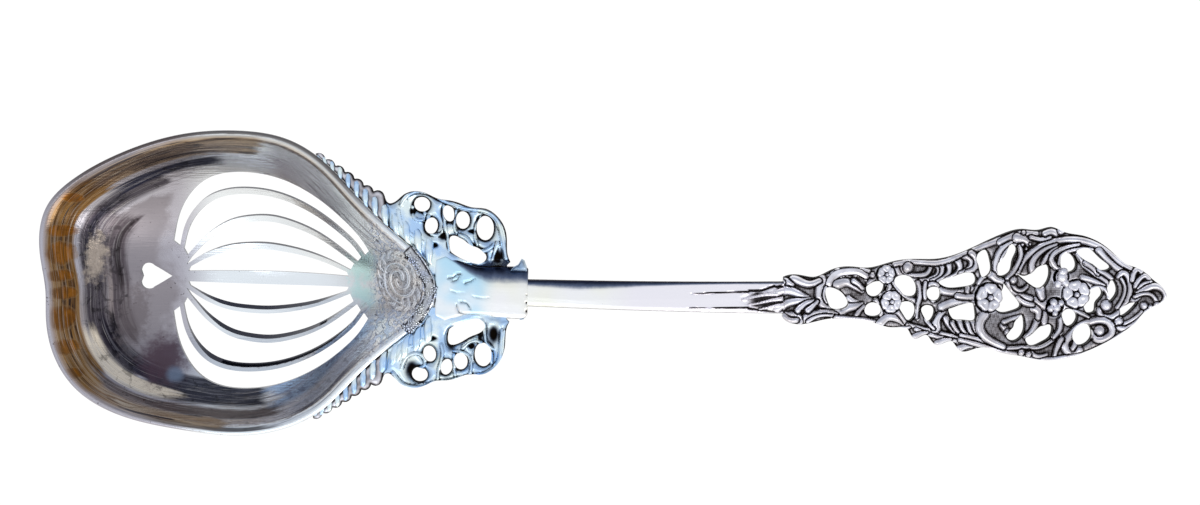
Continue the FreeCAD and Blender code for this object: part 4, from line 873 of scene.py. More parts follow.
def heart_outline():
    """Two round lobes towards the tip, drawn in to a point towards the slots."""
    lobe_y = HEART_LOBE * HEART_LOBE_SHARE
    half = [(HEART_X - 0.75 * HEART_LOBE, 0.0)]
    for angle in range(140, -1, -14):
        turn = math.radians(angle + 40)
        half.append((HEART_X + HEART_LOBE * math.cos(turn), lobe_y + HEART_LOBE * math.sin(turn)))
    half = [spot for spot in half if spot[1] >= 0]
    point = (HEART_X + HEART_POINT_SHARE * HEART_LOBE, 0.0)
    upper = half + [((half[-1][0] + point[0]) / 2, half[-1][1] * 0.52), point]
    lower = [(x, -y) for x, y in reversed(upper[1:-1])]
    return np.array(upper + lower)


def prism(outlines, low, high):
    """Upright prisms over closed outlines, as points and faces."""
    points, faces = [], []
    for outline in outlines:
        area = np.sum(outline[:, 0] * np.roll(outline[:, 1], -1) - outline[:, 1] * np.roll(outline[:, 0], -1))
        loop = outline if area > 0 else outline[::-1]
        start, count = len(points), len(loop)
        points += [(x, y, low) for x, y in loop] + [(x, y, high) for x, y in loop]
        faces.append(tuple(start + step for step in reversed(range(count))))
        faces.append(tuple(start + count + step for step in range(count)))
        for step in range(count):
            after = (step + 1) % count
            faces.append((start + step, start + after, start + count + after, start + count + step))
    return points, faces


def bowl_piece():
    rings = []
    outer_rings = np.concatenate([[0.0, 0.06], np.linspace(FOOT_SHARE, 0.985, 62)])
    for ring in outer_rings:
        rings.append(bowl_ring(ring, 1.0, 0.0))
    lip = bowl_ring(1.0, 1.0, 0.0)
    for scale, sink in ((1.0, 0.42), (0.997, 0.16), (0.990, 0.03), (0.981, 0.0), (0.971, 0.05), (0.964, 0.20)):
        ring = bowl_ring(1.0, scale, 0.0, sink)
        rings.append(ring)
    for ring in outer_rings[::-1]:
        rings.append(bowl_ring(min(ring, 0.985), INNER_SCALE, BOWL_WALL))
    points = np.vstack([rings[0][:1]] + rings[1:-1] + [rings[-1][:1]])
    last_ring = len(rings) - 3
    faces = []
    count = RIM_POINTS
    for step in range(count):
        after = (step + 1) % count
        faces.append((0, 1 + step, 1 + after))
        for ring in range(last_ring):
            base = 1 + ring * count
            faces.append((base + step, base + count + step, base + count + after, base + after))
        base = 1 + last_ring * count
        faces.append((base + step, len(points) - 1, base + after))
    faces = [tuple(reversed(face)) for face in faces]
    shell = new_piece("bowl_shell", points, faces, "bowl_silver", BOWL)
    cut_points, cut_faces = prism(slot_outlines() + [heart_outline()], -5.0, 40.0)
    cutter = new_piece("bowl_slot_cutter", cut_points, cut_faces, "bowl_silver", BOWL)
    for piece in (shell, cutter):
        outward(piece.data)
    pierce = shell.modifiers.new("Slots and heart", "BOOLEAN")
    pierce.operation = "DIFFERENCE"
    pierce.solver = "EXACT"
    pierce.object = cutter
    piece = applied(shell, "pierced_bowl")
    bpy.data.objects.remove(cutter)
    mesh = piece.data
    upright = np.array([abs(face.normal.z) < 0.08 for face in mesh.polygons])
    spots = np.empty(len(mesh.vertices) * 3)
    mesh.vertices.foreach_get("co", spots)
    x, y, z = (spots.reshape(-1, 3) / MM).T
    lean_slats(x, y, z)
    mesh.vertices.foreach_set("co", (np.column_stack([x, y, z]) * MM).ravel())
    mesh.update()
    ring, turn = ring_and_turn(x, y)
    inner_gap = z - floor_height(x, y)
    values = {
        "ring": ring,
        "around_x": np.cos(turn * math.tau),
        "around_y": np.sin(turn * math.tau),
        "tipward": np.clip((HEEL_X - x) / BOWL_LENGTH, 0, 1),
        "inner": np.clip(1 + inner_gap / (0.5 * BOWL_WALL), 0, 1),
        "crinkle": np.exp(-((x + 104.8) / 3.0) ** 2 - ((y - 3.6) / 7.0) ** 2),
    }
    for label, numbers in values.items():
        layer = mesh.attributes.new(label, "FLOAT", "POINT")
        layer.data.foreach_set("value", numbers.astype(np.float32))
    # The upright walls of the slots and heart, which the material paints dark as shade
    middle_ring = ring_and_turn(*(np.array([tuple(face.center) for face in mesh.polygons])[:, :2] / MM).T)[0]
    layer = mesh.attributes.new("cut", "FLOAT", "FACE")
    layer.data.foreach_set("value", (upright & (middle_ring < 0.93)).astype(np.float32))
    finish_shading(mesh, 38)
    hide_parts("bowl")
    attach(piece, "root")
    return piece


# Share of a slat's width taken by the sloping cut along its upper edge, on either half
SLAT_SLOPES = {1: 0.17, -1: 0.46}
SLOPE_FADE = 6.0


def lean_slats(x, y, z):
    """Draws each slat's top away from its upper edge, so that the cut there, painted dark as shade, slopes and shows.
    """
    on_top = np.abs(z - floor_height(x, y)) < 0.25 * BOWL_WALL
    for side, slope in SLAT_SLOPES.items():
        for shares in SLAT_SHARES:
            edges = [slat_edge(*shares, step, side) for step in (SLAT_HALF, -SLAT_HALF)]
            lines = np.sort([np.interp(x, edge[:, 0], edge[:, 1]) for edge in edges], axis=0)
            left, right = edges[1][0, 0], edges[1][-1, 0]
            on_slat = on_top & (x > left) & (x < right) & (y > lines[0] - 0.04) & (y < lines[1] + 0.04)
            fade = np.clip(np.minimum(x - left, right - x) / SLOPE_FADE, 0, 1)
            drawn = lines[0] + (y - lines[0]) * (1 - slope * fade)
            y[on_slat] = drawn[on_slat]
            z[on_slat] = floor_height(x[on_slat], y[on_slat])


def outward(mesh):
    """Turns a closed mesh's faces outwards."""
    shell = bmesh.new()
    shell.from_mesh(mesh)
    bmesh.ops.recalc_face_normals(shell, faces=shell.faces)
    shell.to_mesh(mesh)
    shell.free()


def applied(piece, name):
    """The piece with its modifiers made part of its mesh."""
    graph = bpy.context.evaluated_depsgraph_get()
    mesh = bpy.data.meshes.new_from_object(piece.evaluated_get(graph))
    mesh.name = name
    finished = bpy.data.objects.new(name, mesh)
    bpy.context.scene.collection.objects.link(finished)
    bpy.data.objects.remove(piece)
    return finished


# Ornament that repeats is set out by Geometry Nodes

def geometry_tree(name, inputs):
    tree = bpy.data.node_groups.new(name, "GeometryNodeTree")
    tree.interface.new_socket("Geometry", in_out="INPUT", socket_type="NodeSocketGeometry")
    for label, kind, value in inputs:
        socket = tree.interface.new_socket(label, in_out="INPUT", socket_type="NodeSocket" + kind)
        if value is not None:
            socket.default_value = value
    tree.interface.new_socket("Geometry", in_out="OUTPUT", socket_type="NodeSocketGeometry")
    return tree, tree.nodes.new("NodeGroupInput").outputs, tree.nodes.new("NodeGroupOutput").inputs


def end_tree(tree, geometry, material, result):
    real = add(tree, "GeometryNodeRealizeInstances", {"Geometry": geometry})
    dressed = add(tree, "GeometryNodeSetMaterial", {"Geometry": real.outputs[0], "Material": material})
    tree.links.new(dressed.outputs[0], result["Geometry"])


def model_of(tree, source):
    return add(tree, "GeometryNodeObjectInfo", {"Object": source}).outputs["Geometry"]


def flower_tree():
    """Petals turned round a centre, with an eye in the middle."""
    tree, given, result = geometry_tree("Flower From Petals", (
        ("Petal", "Object", None), ("Eye", "Object", None), ("Petals", "Int", 5), ("Radius", "Float", 0.002),
        ("Turn", "Float", 0.0), ("Material", "Material", None)))
    circle = add(tree, "GeometryNodeMeshCircle", {"Vertices": given["Petals"], "Radius": 1e-6})
    index = tree.nodes.new("GeometryNodeInputIndex").outputs[0]
    step = add(tree, "ShaderNodeMath", {0: math.tau, 1: given["Petals"]}, operation="DIVIDE").outputs[0]
    angle = add(tree, "ShaderNodeMath", {0: index, 1: step, 2: given["Turn"]}, operation="MULTIPLY_ADD").outputs[0]
    turn = add(tree, "ShaderNodeCombineXYZ", {"Z": angle}).outputs[0]
    turn = add(tree, "FunctionNodeEulerToRotation", {"Euler": turn}).outputs[0]
    petals = add(tree, "GeometryNodeInstanceOnPoints", {
        "Points": circle.outputs[0], "Instance": model_of(tree, given["Petal"]), "Rotation": turn,
        "Scale": given["Radius"]})
    eye = add(tree, "GeometryNodeTransform", {"Geometry": model_of(tree, given["Eye"]), "Scale": given["Radius"]})
    joined = tree.nodes.new("GeometryNodeJoinGeometry")
    tree.links.new(petals.outputs[0], joined.inputs[0])
    tree.links.new(eye.outputs[0], joined.inputs[0])
    end_tree(tree, joined.outputs[0], given["Material"], result)
    return tree


def flute_tree():
    """Flutes set side by side along a line, growing and spreading from one end to the other."""
    tree, given, result = geometry_tree("Flutes Along A Border", (
        ("Flute", "Object", None), ("Count", "Int", 9), ("Start Size", "Float", 0.6), ("End Size", "Float", 1.2),
        ("Lean", "Float", 0.0), ("Tilt", "Float", 0.0), ("Material", "Material", None)))
    line = add(tree, "GeometryNodeMeshToCurve", {"Mesh": given["Geometry"]}).outputs[0]
    index = tree.nodes.new("GeometryNodeInputIndex").outputs[0]
    last = add(tree, "ShaderNodeMath", {0: given["Count"], 1: 1.0}, operation="SUBTRACT").outputs[0]
    along = add(tree, "ShaderNodeMath", {0: index, 1: last}, operation="DIVIDE").outputs[0]
    growth = add(tree, "ShaderNodeMapRange", {
        "Value": along, "To Min": given["Start Size"], "To Max": given["End Size"]}).outputs["Result"]
    spread = add(tree, "ShaderNodeMath", {0: along, 1: 1.25}, operation="POWER").outputs[0]
    points = add(tree, "GeometryNodeMeshLine", {"Count": given["Count"]}).outputs[0]
    spot = add(tree, "GeometryNodeSampleCurve", {"Curves": line, "Factor": spread})
    points = add(tree, "GeometryNodeSetPosition", {
        "Geometry": points, "Position": spot.outputs["Position"]}).outputs[0]
    parts = add(tree, "ShaderNodeSeparateXYZ", {"Vector": spot.outputs["Tangent"]}).outputs
    angle = add(tree, "ShaderNodeMath", {0: parts["Y"], 1: parts["X"]}, operation="ARCTAN2").outputs[0]
    angle = add(tree, "ShaderNodeMath", {0: angle, 1: given["Lean"]}, operation="ADD").outputs[0]
    turn = add(tree, "ShaderNodeCombineXYZ", {"Y": given["Tilt"], "Z": angle}).outputs[0]
    turn = add(tree, "FunctionNodeEulerToRotation", {"Euler": turn}).outputs[0]
    turns = add(tree, "GeometryNodeCaptureAttribute", {"Geometry": points})
    turns.capture_items.new("ROTATION", "Turn")
    turns.capture_items.new("FLOAT", "Growth")
    tree.links.new(turn, turns.inputs["Turn"])
    tree.links.new(growth, turns.inputs["Growth"])
    flutes = add(tree, "GeometryNodeInstanceOnPoints", {
        "Points": turns.outputs["Geometry"], "Instance": model_of(tree, given["Flute"]),
        "Rotation": turns.outputs["Turn"], "Scale": turns.outputs["Growth"]})
    end_tree(tree, flutes.outputs[0], given["Material"], result)
    return tree


def scatter_tree():
    """Small blossoms strewn over a base, turned every way."""
    tree, given, result = geometry_tree("Strewn Blossoms", (
        ("Blossom", "Object", None), ("Density", "Float", 1e6), ("Spacing", "Float", 0.0008),
        ("Seed", "Int", 3), ("Smallest", "Float", 0.7), ("Largest", "Float", 1.2), ("Material", "Material", None)))
    points = add(
        tree, "GeometryNodeDistributePointsOnFaces",
        {"Mesh": given["Geometry"], "Distance Min": given["Spacing"], "Density Max": given["Density"],
         "Seed": given["Seed"]}, distribute_method="POISSON")
    size = add(tree, "FunctionNodeRandomValue", {
        "Min": given["Smallest"], "Max": given["Largest"], "Seed": given["Seed"]}, data_type="FLOAT")
    spin = add(tree, "FunctionNodeRandomValue", {"Max": math.tau, "Seed": given["Seed"]}, data_type="FLOAT")
    turned = add(tree, "FunctionNodeRotateRotation", {
        "Rotation": points.outputs["Rotation"],
        "Rotate By": add(tree, "FunctionNodeAxisAngleToRotation", {"Angle": spin.outputs[1]}).outputs[0]},
        rotation_space="LOCAL")
    blossoms = add(tree, "GeometryNodeInstanceOnPoints", {
        "Points": points.outputs["Points"], "Instance": model_of(tree, given["Blossom"]),
        "Rotation": turned.outputs[0], "Scale": size.outputs[1]})
    joined = tree.nodes.new("GeometryNodeJoinGeometry")
    tree.links.new(given["Geometry"], joined.inputs[0])
    tree.links.new(blossoms.outputs[0], joined.inputs[0])
    end_tree(tree, joined.outputs[0], given["Material"], result)
    return tree


def grown(host, tree, values, name):
    """The host object with a tree's result as its plain mesh."""
    modifier = host.modifiers.new(tree.name, "NODES")
    modifier.node_group = tree
    for item in tree.interface.items_tree:
        if item.in_out == "INPUT" and item.name in values:
            modifier[item.identifier] = values[item.name]
    return applied(host, name)


def dome_mesh(name, outline, height, polish_foot=0.35, cup=0.0, layers=6):
    """A closed shell over a flat outline, round on top, in units of its own size.

    cup presses the middle down, as in a petal. The foot is darker than the crest.
    """
    outline = np.array(outline, float)
    middle = outline.mean(axis=0)
    count = len(outline)
    points, polish = [], []
    for layer in range(layers):
        share = 1 - layer / layers
        rise = height * math.sqrt(max(0.0, 1 - share ** 4)) - cup * height * (1 - share) ** 2
        for spot in outline:
            place = middle + (spot - middle) * share
            throat = np.clip((np.hypot(*place) - 0.22) / 0.14, 0, 1) if cup else 1.0
            points.append((*place, rise))
            polish.append((polish_foot + (1 - polish_foot) * min(1.0, layer / 1.2)) * throat)
    points.append((*middle, height * (1 - cup)))
    polish.append(1.0)
    faces = []
    for layer in range(layers - 1):
        for step in range(count):
            after = (step + 1) % count
            base = layer * count
            faces.append((base + step, base + after, base + count + after, base + count + step))
    for step in range(count):
        faces.append(((layers - 1) * count + step, (layers - 1) * count + (step + 1) % count, len(points) - 1))
    faces.append(tuple(reversed(range(count))))
    shape = new_piece(name, np.array(points) / MM, faces, "ornament_silver", FLOWERS, {"polish": polish})
    return shape


PETAL_OUTLINE = spline(((0.14, 0.0), (0.38, 0.32), (0.68, 0.56), (0.96, 0.36), (0.98, 0.0), (0.96, -0.36),
                        (0.68, -0.56), (0.38, -0.32)), 24, closed=True)
EYE_OUTLINE = [(0.2 * math.cos(turn), 0.2 * math.sin(turn)) for turn in np.linspace(0, math.tau, 15)[:-1]]

FLOWER_TREE, FLUTE_TREE, SCATTER_TREE = flower_tree(), flute_tree(), scatter_tree()
PETAL = dome_mesh("petal_pattern", PETAL_OUTLINE, 0.26, 0.0, 0.3)
EYE = dome_mesh("flower_eye_pattern", EYE_OUTLINE, 0.5, 0.2)


def moved(mesh, matrix):
    mesh.transform(matrix)
    mesh.update()


def empty_host(name):
    host = bpy.data.objects.new(name, bpy.data.meshes.new(name))
    bpy.context.scene.collection.objects.link(host)
    return host


def flower(name, radius, spot, slope, turn, sink=0.5):
    """A five-petalled flower, seated square on the handle."""
    piece = grown(empty_host(name + "_host"), FLOWER_TREE, {
        "Petal": PETAL, "Eye": EYE, "Petals": 5, "Radius": radius * MM, "Turn": turn, "Material": FLOWERS}, name)
    place = Matrix.Translation(Vector((spot[0], spot[1], spot[2] - sink)) * MM)
    moved(piece.data, place @ Matrix.Rotation(-slope, 4, "Y"))
    finish_shading(piece.data, 50)
    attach(piece, "root")
    return piece


# Handle: scrolls, leaves and volutes drawn as ridges over the pierced plate. Places are in
# shares of the handle's length and half width. Each line has its half widths at both ends,
# in millimetres, and its height as a share of the relief.
ENTRY_SCROLL_SHARES = (
    (((0.105, 0.12), (0.115, 0.28), (0.13, 0.38), (0.16, 0.42), (0.19, 0.42), (0.215, 0.38)), 0.35, 0.3, 1.0),
    (((0.115, 0.15), (0.13, 0.27), (0.15, 0.33), (0.18, 0.34), (0.205, 0.29), (0.215, 0.22)), 0.3, 0.25, 0.8),
    (((0.115, 0.22), (0.13, 0.33), (0.16, 0.38), (0.19, 0.37), (0.21, 0.31)), 0.5, 0.4, 0.5),
    (((0.095, 0.27), (0.09, 0.12), (0.09, 0.0), (0.1, -0.11), (0.115, -0.16)), 0.65, 0.5, 1.0),
    (((0.107, 0.14), (0.102, 0.03), (0.11, -0.07)), 0.3, 0.2, 0.8),
    (((0.228, 0.31), (0.222, 0.24), (0.215, 0.2)), 0.45, 0.35, 1.0),
)
INNER_LEAF_SHARES = (
    (((0.137, 0.19), (0.16, 0.22), (0.18, 0.16), (0.2, 0.09)), 0.7, 0.3, 0.9),
    (((0.177, 0.24), (0.19, 0.19), (0.2, 0.13)), 0.45, 0.3, 1.0),
    (((0.165, -0.02), (0.185, -0.08), (0.205, -0.1)), 0.5, 0.35, 0.8),
    (((0.137, -0.27), (0.15, -0.18), (0.175, -0.14), (0.2, -0.11)), 0.9, 0.4, 0.9),
    (((0.185, -0.28), (0.195, -0.19), (0.205, -0.13)), 0.4, 0.3, 0.9),
)
LOWER_RAIL_SHARES = (
    (((0.046, -0.36), (0.055, -0.28), (0.08, -0.22), (0.11, -0.2), (0.135, -0.25)), 0.45, 0.35, 1.0),
    (((0.063, -0.34), (0.08, -0.28), (0.105, -0.25), (0.13, -0.26)), 0.3, 0.2, 0.8),
    (((0.135, -0.29), (0.165, -0.31), (0.2, -0.33), (0.25, -0.39)), 0.4, 0.35, 0.9),
)
HANDLE_FOOT_SHARES = (
    (((0.043, -0.35), (0.038, -0.26), (0.015, -0.24), (-0.01, -0.26)), 0.45, 0.4, 1.0),
    (((0.0, -0.28), (0.015, -0.32), (0.035, -0.32)), 0.6, 0.4, 0.8),
    (((0.025, 0.28), (0.04, 0.24), (0.065, 0.2), (0.09, 0.25)), 0.6, 0.4, 1.0),
    (((-0.018, 0.22), (0.005, 0.24), (0.02, 0.19)), 0.6, 0.4, 1.0),
    (((-0.015, 0.08), (0.004, 0.11), (0.03, 0.08), (0.06, 0.0)), 0.75, 0.4, 0.9),
    (((-0.015, -0.16), (0.01, -0.08), (0.04, -0.04), (0.075, -0.02)), 0.7, 0.3, 0.9),
    (((0.037, -0.18), (0.055, -0.08), (0.075, -0.04)), 0.5, 0.3, 1.0),
    (((0.063, -0.18), (0.078, -0.1), (0.086, -0.05)), 0.5, 0.3, 1.0),
)
UPPER_VOLUTE_SHARES = (
    (((0.296, 0.46), (0.302, 0.37), (0.32, 0.32), (0.346, 0.31), (0.368, 0.35), (0.375, 0.42)), 0.45, 0.35, 1.0),
    (((0.285, 0.47), (0.295, 0.33), (0.32, 0.25), (0.357, 0.23), (0.383, 0.27), (0.397, 0.37), (0.39, 0.48)),
     0.4, 0.35, 0.9),
    (((0.403, 0.49), (0.406, 0.37), (0.397, 0.28), (0.379, 0.24)), 0.4, 0.25, 1.0),
    (((0.421, 0.5), (0.425, 0.38), (0.412, 0.28), (0.394, 0.22)), 0.45, 0.3, 1.0),
    (((0.446, 0.53), (0.453, 0.42), (0.442, 0.32), (0.42, 0.26)), 0.5, 0.3, 1.0),
    (((0.465, 0.59), (0.482, 0.53), (0.478, 0.4), (0.454, 0.34)), 0.5, 0.35, 1.0),
    (((0.283, 0.48), (0.317, 0.51), (0.353, 0.5), (0.39, 0.49), (0.416, 0.52), (0.442, 0.58), (0.468, 0.66),
      (0.5, 0.71), (0.52, 0.75), (0.557, 0.82)), 0.4, 0.45, 0.8),
)
STRAP_SHARES = (
    (((0.252, 0.27), (0.27, 0.19), (0.266, 0.09), (0.248, 0.01)), 0.4, 0.3, 1.0),
    (((0.281, 0.22), (0.298, 0.09), (0.32, -0.01), (0.335, -0.06), (0.342, -0.18), (0.345, -0.32)), 0.4, 0.35, 1.0),
    (((0.343, 0.2), (0.35, 0.03), (0.344, -0.14), (0.342, -0.3)), 0.45, 0.35, 1.0),
    (((0.372, 0.17), (0.383, 0.19), (0.398, 0.11), (0.396, -0.01), (0.385, -0.06)), 0.35, 0.35, 1.0),
    (((0.363, 0.2), (0.361, 0.08), (0.364, -0.03)), 0.35, 0.3, 1.0),
    (((0.235, -0.05), (0.246, -0.15), (0.252, -0.3)), 0.4, 0.3, 1.0),
)
LOWER_FEATHER_SHARES = (
    (((0.247, -0.4), (0.268, -0.3), (0.291, -0.32), (0.324, -0.43)), 0.6, 0.35, 0.8),
    (((0.291, -0.2), (0.302, -0.28), (0.317, -0.39)), 0.4, 0.3, 0.8),
    (((0.32, -0.41), (0.364, -0.48), (0.412, -0.55), (0.452, -0.61), (0.497, -0.7), (0.557, -0.79)), 0.3, 0.3, 1.0),
    (((0.342, -0.48), (0.4, -0.6), (0.452, -0.67), (0.503, -0.76), (0.557, -0.85)), 0.3, 0.3, 0.8),
    (((0.395, -0.47), (0.397, -0.33), (0.412, -0.23)), 0.75, 0.4, 1.0),
    (((0.42, -0.33), (0.43, -0.45), (0.455, -0.57)), 0.45, 0.2, 1.0),
    (((0.437, -0.4), (0.448, -0.5), (0.469, -0.6)), 0.4, 0.2, 1.0),
    (((0.456, -0.36), (0.463, -0.48), (0.486, -0.61)), 0.45, 0.2, 1.0),
    (((0.478, -0.4), (0.486, -0.53), (0.505, -0.65)), 0.45, 0.2, 1.0),
    (((0.492, -0.37), (0.5, -0.5), (0.515, -0.62)), 0.45, 0.25, 1.0),
    (((0.37, -0.34), (0.378, -0.42), (0.39, -0.48)), 0.35, 0.25, 0.8),
    (((0.286, -0.5), (0.306, -0.47), (0.326, -0.45)), 0.4, 0.2, 0.6),
    (((0.34, -0.6), (0.355, -0.55), (0.372, -0.53)), 0.5, 0.25, 0.7),
    (((0.4, -0.7), (0.415, -0.66), (0.435, -0.64)), 0.5, 0.25, 0.7),
    (((0.457, -0.79), (0.475, -0.75), (0.5, -0.74)), 0.5, 0.25, 0.7),
)
MIDDLE_LEAF_SHARES = (
    (((0.404, 0.08), (0.434, 0.05), (0.46, 0.06), (0.486, 0.11)), 0.5, 0.4, 0.8),
    (((0.408, -0.16), (0.44, -0.09), (0.47, -0.08), (0.495, -0.1)), 0.6, 0.45, 0.9),
    (((0.475, 0.12), (0.476, 0.01), (0.492, -0.08)), 0.4, 0.3, 1.0),
    (((0.45, 0.0), (0.475, -0.02), (0.498, -0.01)), 0.5, 0.4, 0.8),
    (((0.504, 0.19), (0.515, 0.27), (0.527, 0.31)), 0.4, 0.3, 0.8),
)
ACANTHUS_SHARES = (
    (((0.607, 0.34), (0.618, 0.48), (0.641, 0.63), (0.672, 0.74), (0.71, 0.8), (0.755, 0.82), (0.797, 0.78),
      (0.833, 0.68), (0.87, 0.53), (0.903, 0.4)), 0.45, 0.5, 1.0),
    (((0.65, 0.32), (0.645, 0.45), (0.66, 0.6), (0.685, 0.7), (0.71, 0.75)), 0.6, 0.25, 1.0),
    (((0.676, 0.48), (0.687, 0.59), (0.706, 0.67), (0.737, 0.72)), 0.4, 0.25, 1.0),
    (((0.73, 0.38), (0.706, 0.44), (0.698, 0.55), (0.712, 0.64), (0.74, 0.71), (0.77, 0.75)), 0.55, 0.25, 1.0),
    (((0.72, 0.46), (0.726, 0.57), (0.748, 0.65), (0.775, 0.68), (0.805, 0.68)), 0.35, 0.25, 0.9),
    (((0.822, 0.66), (0.85, 0.5), (0.875, 0.39), (0.9, 0.33)), 0.55, 0.4, 0.8),
    (((0.77, 0.6), (0.785, 0.46), (0.815, 0.32), (0.845, 0.19), (0.855, 0.1)), 0.45, 0.35, 1.0),
    (((0.79, 0.48), (0.808, 0.4), (0.822, 0.31)), 0.5, 0.3, 1.0),
    (((0.783, 0.25), (0.81, 0.21), (0.838, 0.14)), 0.5, 0.3, 0.8),
    (((0.826, 0.38), (0.842, 0.31), (0.857, 0.25)), 0.5, 0.35, 1.0),
)
TERMINAL_SCROLL_SHARES = (
    (((0.825, -0.23), (0.838, -0.33), (0.862, -0.33), (0.884, -0.22), (0.9, -0.06), (0.906, 0.13), (0.9, 0.28),
      (0.886, 0.34), (0.876, 0.28)), 0.45, 0.45, 1.0),
    (((0.874, -0.19), (0.888, -0.04), (0.892, 0.13), (0.882, 0.25)), 0.3, 0.25, 0.8),
    (((0.802, 0.05), (0.825, 0.1), (0.847, 0.05), (0.853, -0.05), (0.845, -0.13)), 0.4, 0.35, 0.8),
)
FINIAL_SHARES = (
    (((0.911, 0.23), (0.914, 0.34), (0.925, 0.4), (0.934, 0.33)), 0.45, 0.35, 1.0),
    (((0.918, 0.14), (0.929, 0.25), (0.943, 0.3), (0.954, 0.23)), 0.4, 0.35, 1.0),
    (((0.929, 0.11), (0.941, 0.18), (0.958, 0.2)), 0.35, 0.3, 0.8),
    (((0.916, -0.07), (0.937, 0.06), (0.965, 0.14), (0.987, 0.11), (0.999, 0.0), (0.994, -0.11), (0.978, -0.16)),
     0.55, 0.45, 1.0),
    (((0.918, -0.02), (0.944, 0.03), (0.962, 0.01), (0.974, -0.07)), 0.3, 0.3, 0.8),
    (((0.868, -0.45), (0.892, -0.5), (0.92, -0.44), (0.945, -0.31), (0.96, -0.18)), 0.45, 0.45, 1.0),
    (((0.895, -0.43), (0.916, -0.36), (0.938, -0.24)), 0.3, 0.2, 0.7),
)
LOWER_VOLUTE_SHARES = (
    (((0.814, -0.58), (0.823, -0.67), (0.848, -0.65), (0.864, -0.54), (0.856, -0.43), (0.83, -0.38),
      (0.803, -0.42), (0.776, -0.51), (0.754, -0.64), (0.743, -0.77), (0.755, -0.87), (0.78, -0.84)), 0.45, 0.65, 1.0),
    (((0.776, -0.63), (0.772, -0.74), (0.764, -0.82)), 0.45, 0.4, 0.8),
    (((0.733, -0.68), (0.722, -0.8), (0.716, -0.93)), 0.5, 0.35, 1.0),
    (((0.46, -0.65), (0.5, -0.71), (0.54, -0.78), (0.58, -0.85), (0.62, -0.9), (0.65, -0.94), (0.685, -0.98),
      (0.72, -0.98), (0.755, -0.95), (0.8, -0.9), (0.84, -0.79), (0.875, -0.66), (0.91, -0.52)), 0.4, 0.4, 0.8),
    (((0.46, -0.58), (0.51, -0.65), (0.557, -0.75), (0.595, -0.79), (0.633, -0.78), (0.671, -0.79), (0.706, -0.7),
      (0.731, -0.58)), 0.3, 0.3, 1.0),
    (((0.646, -0.85), (0.668, -0.92), (0.695, -0.9)), 0.35, 0.25, 0.8),
)
STEM_AND_DROP_SHARES = (
    (((0.523, -0.28), (0.511, -0.4), (0.516, -0.55), (0.539, -0.67), (0.576, -0.77)), 0.75, 0.45, 1.0),
    (((0.57, -0.45), (0.582, -0.52), (0.592, -0.58)), 0.4, 0.6, 1.0),
    (((0.576, -0.4), (0.6, -0.35), (0.62, -0.32)), 0.4, 0.25, 0.8),
    (((0.684, -0.3), (0.685, -0.47)), 0.6, 0.45, 1.0),
    (((0.664, -0.4), (0.652, -0.53), (0.634, -0.63)), 0.5, 0.3, 1.0),
    (((0.73, -0.38), (0.727, -0.53), (0.712, -0.64)), 0.5, 0.4, 1.0),
    (((0.757, -0.24), (0.78, -0.28), (0.802, -0.34)), 0.4, 0.25, 0.8),
    (((0.641, -0.1), (0.664, -0.12), (0.683, -0.16)), 0.8, 0.7, 0.9),
    (((0.67, 0.08), (0.676, -0.04)), 0.7, 0.55, 1.0),
    (((0.655, -0.2), (0.668, -0.26), (0.668, -0.34)), 0.6, 0.45, 0.8),
    (((0.58, 0.23), (0.591, 0.1), (0.614, 0.0), (0.645, -0.06)), 0.65, 0.45, 1.0),
    (((0.595, 0.19), (0.602, 0.1), (0.62, 0.07), (0.634, 0.13)), 0.35, 0.3, 1.0),
    (((0.61, -0.05), (0.63, -0.12), (0.652, -0.15)), 0.45, 0.35, 0.8),
)
RAIL_BAR_SHARES = (
    (((0.551, 0.25), (0.547, 0.42), (0.552, 0.57), (0.565, 0.7), (0.595, 0.81)), 0.6, 0.45, 1.0),
    (((0.562, 0.44), (0.567, 0.58), (0.582, 0.69), (0.602, 0.77)), 0.35, 0.25, 0.8),
    (((0.538, 0.3), (0.55, 0.24), (0.566, 0.21)), 0.6, 0.45, 1.0),
    (((0.58, 0.26), (0.595, 0.35), (0.608, 0.48), (0.615, 0.62), (0.611, 0.72)), 0.4, 0.35, 1.0),
    (((0.482, 0.63), (0.496, 0.54), (0.493, 0.42), (0.473, 0.35)), 0.5, 0.4, 1.0),
    (((0.557, 0.79), (0.587, 0.87), (0.62, 0.92), (0.655, 0.91)), 0.45, 0.35, 0.7),
    (((0.603, 0.85), (0.624, 0.82), (0.636, 0.77)), 0.7, 0.45, 0.9),
    (((0.64, 0.86), (0.665, 0.83), (0.692, 0.86)), 0.35, 0.3, 1.0),
    (((0.678, 0.91), (0.695, 0.94), (0.709, 0.91)), 0.45, 0.45, 0.9),
)
HANDLE_LINE_SHARES = (
    ENTRY_SCROLL_SHARES + INNER_LEAF_SHARES + LOWER_RAIL_SHARES + HANDLE_FOOT_SHARES + UPPER_VOLUTE_SHARES
    + STRAP_SHARES + LOWER_FEATHER_SHARES + MIDDLE_LEAF_SHARES + ACANTHUS_SHARES + TERMINAL_SCROLL_SHARES
    + FINIAL_SHARES + LOWER_VOLUTE_SHARES + STEM_AND_DROP_SHARES + RAIL_BAR_SHARES)
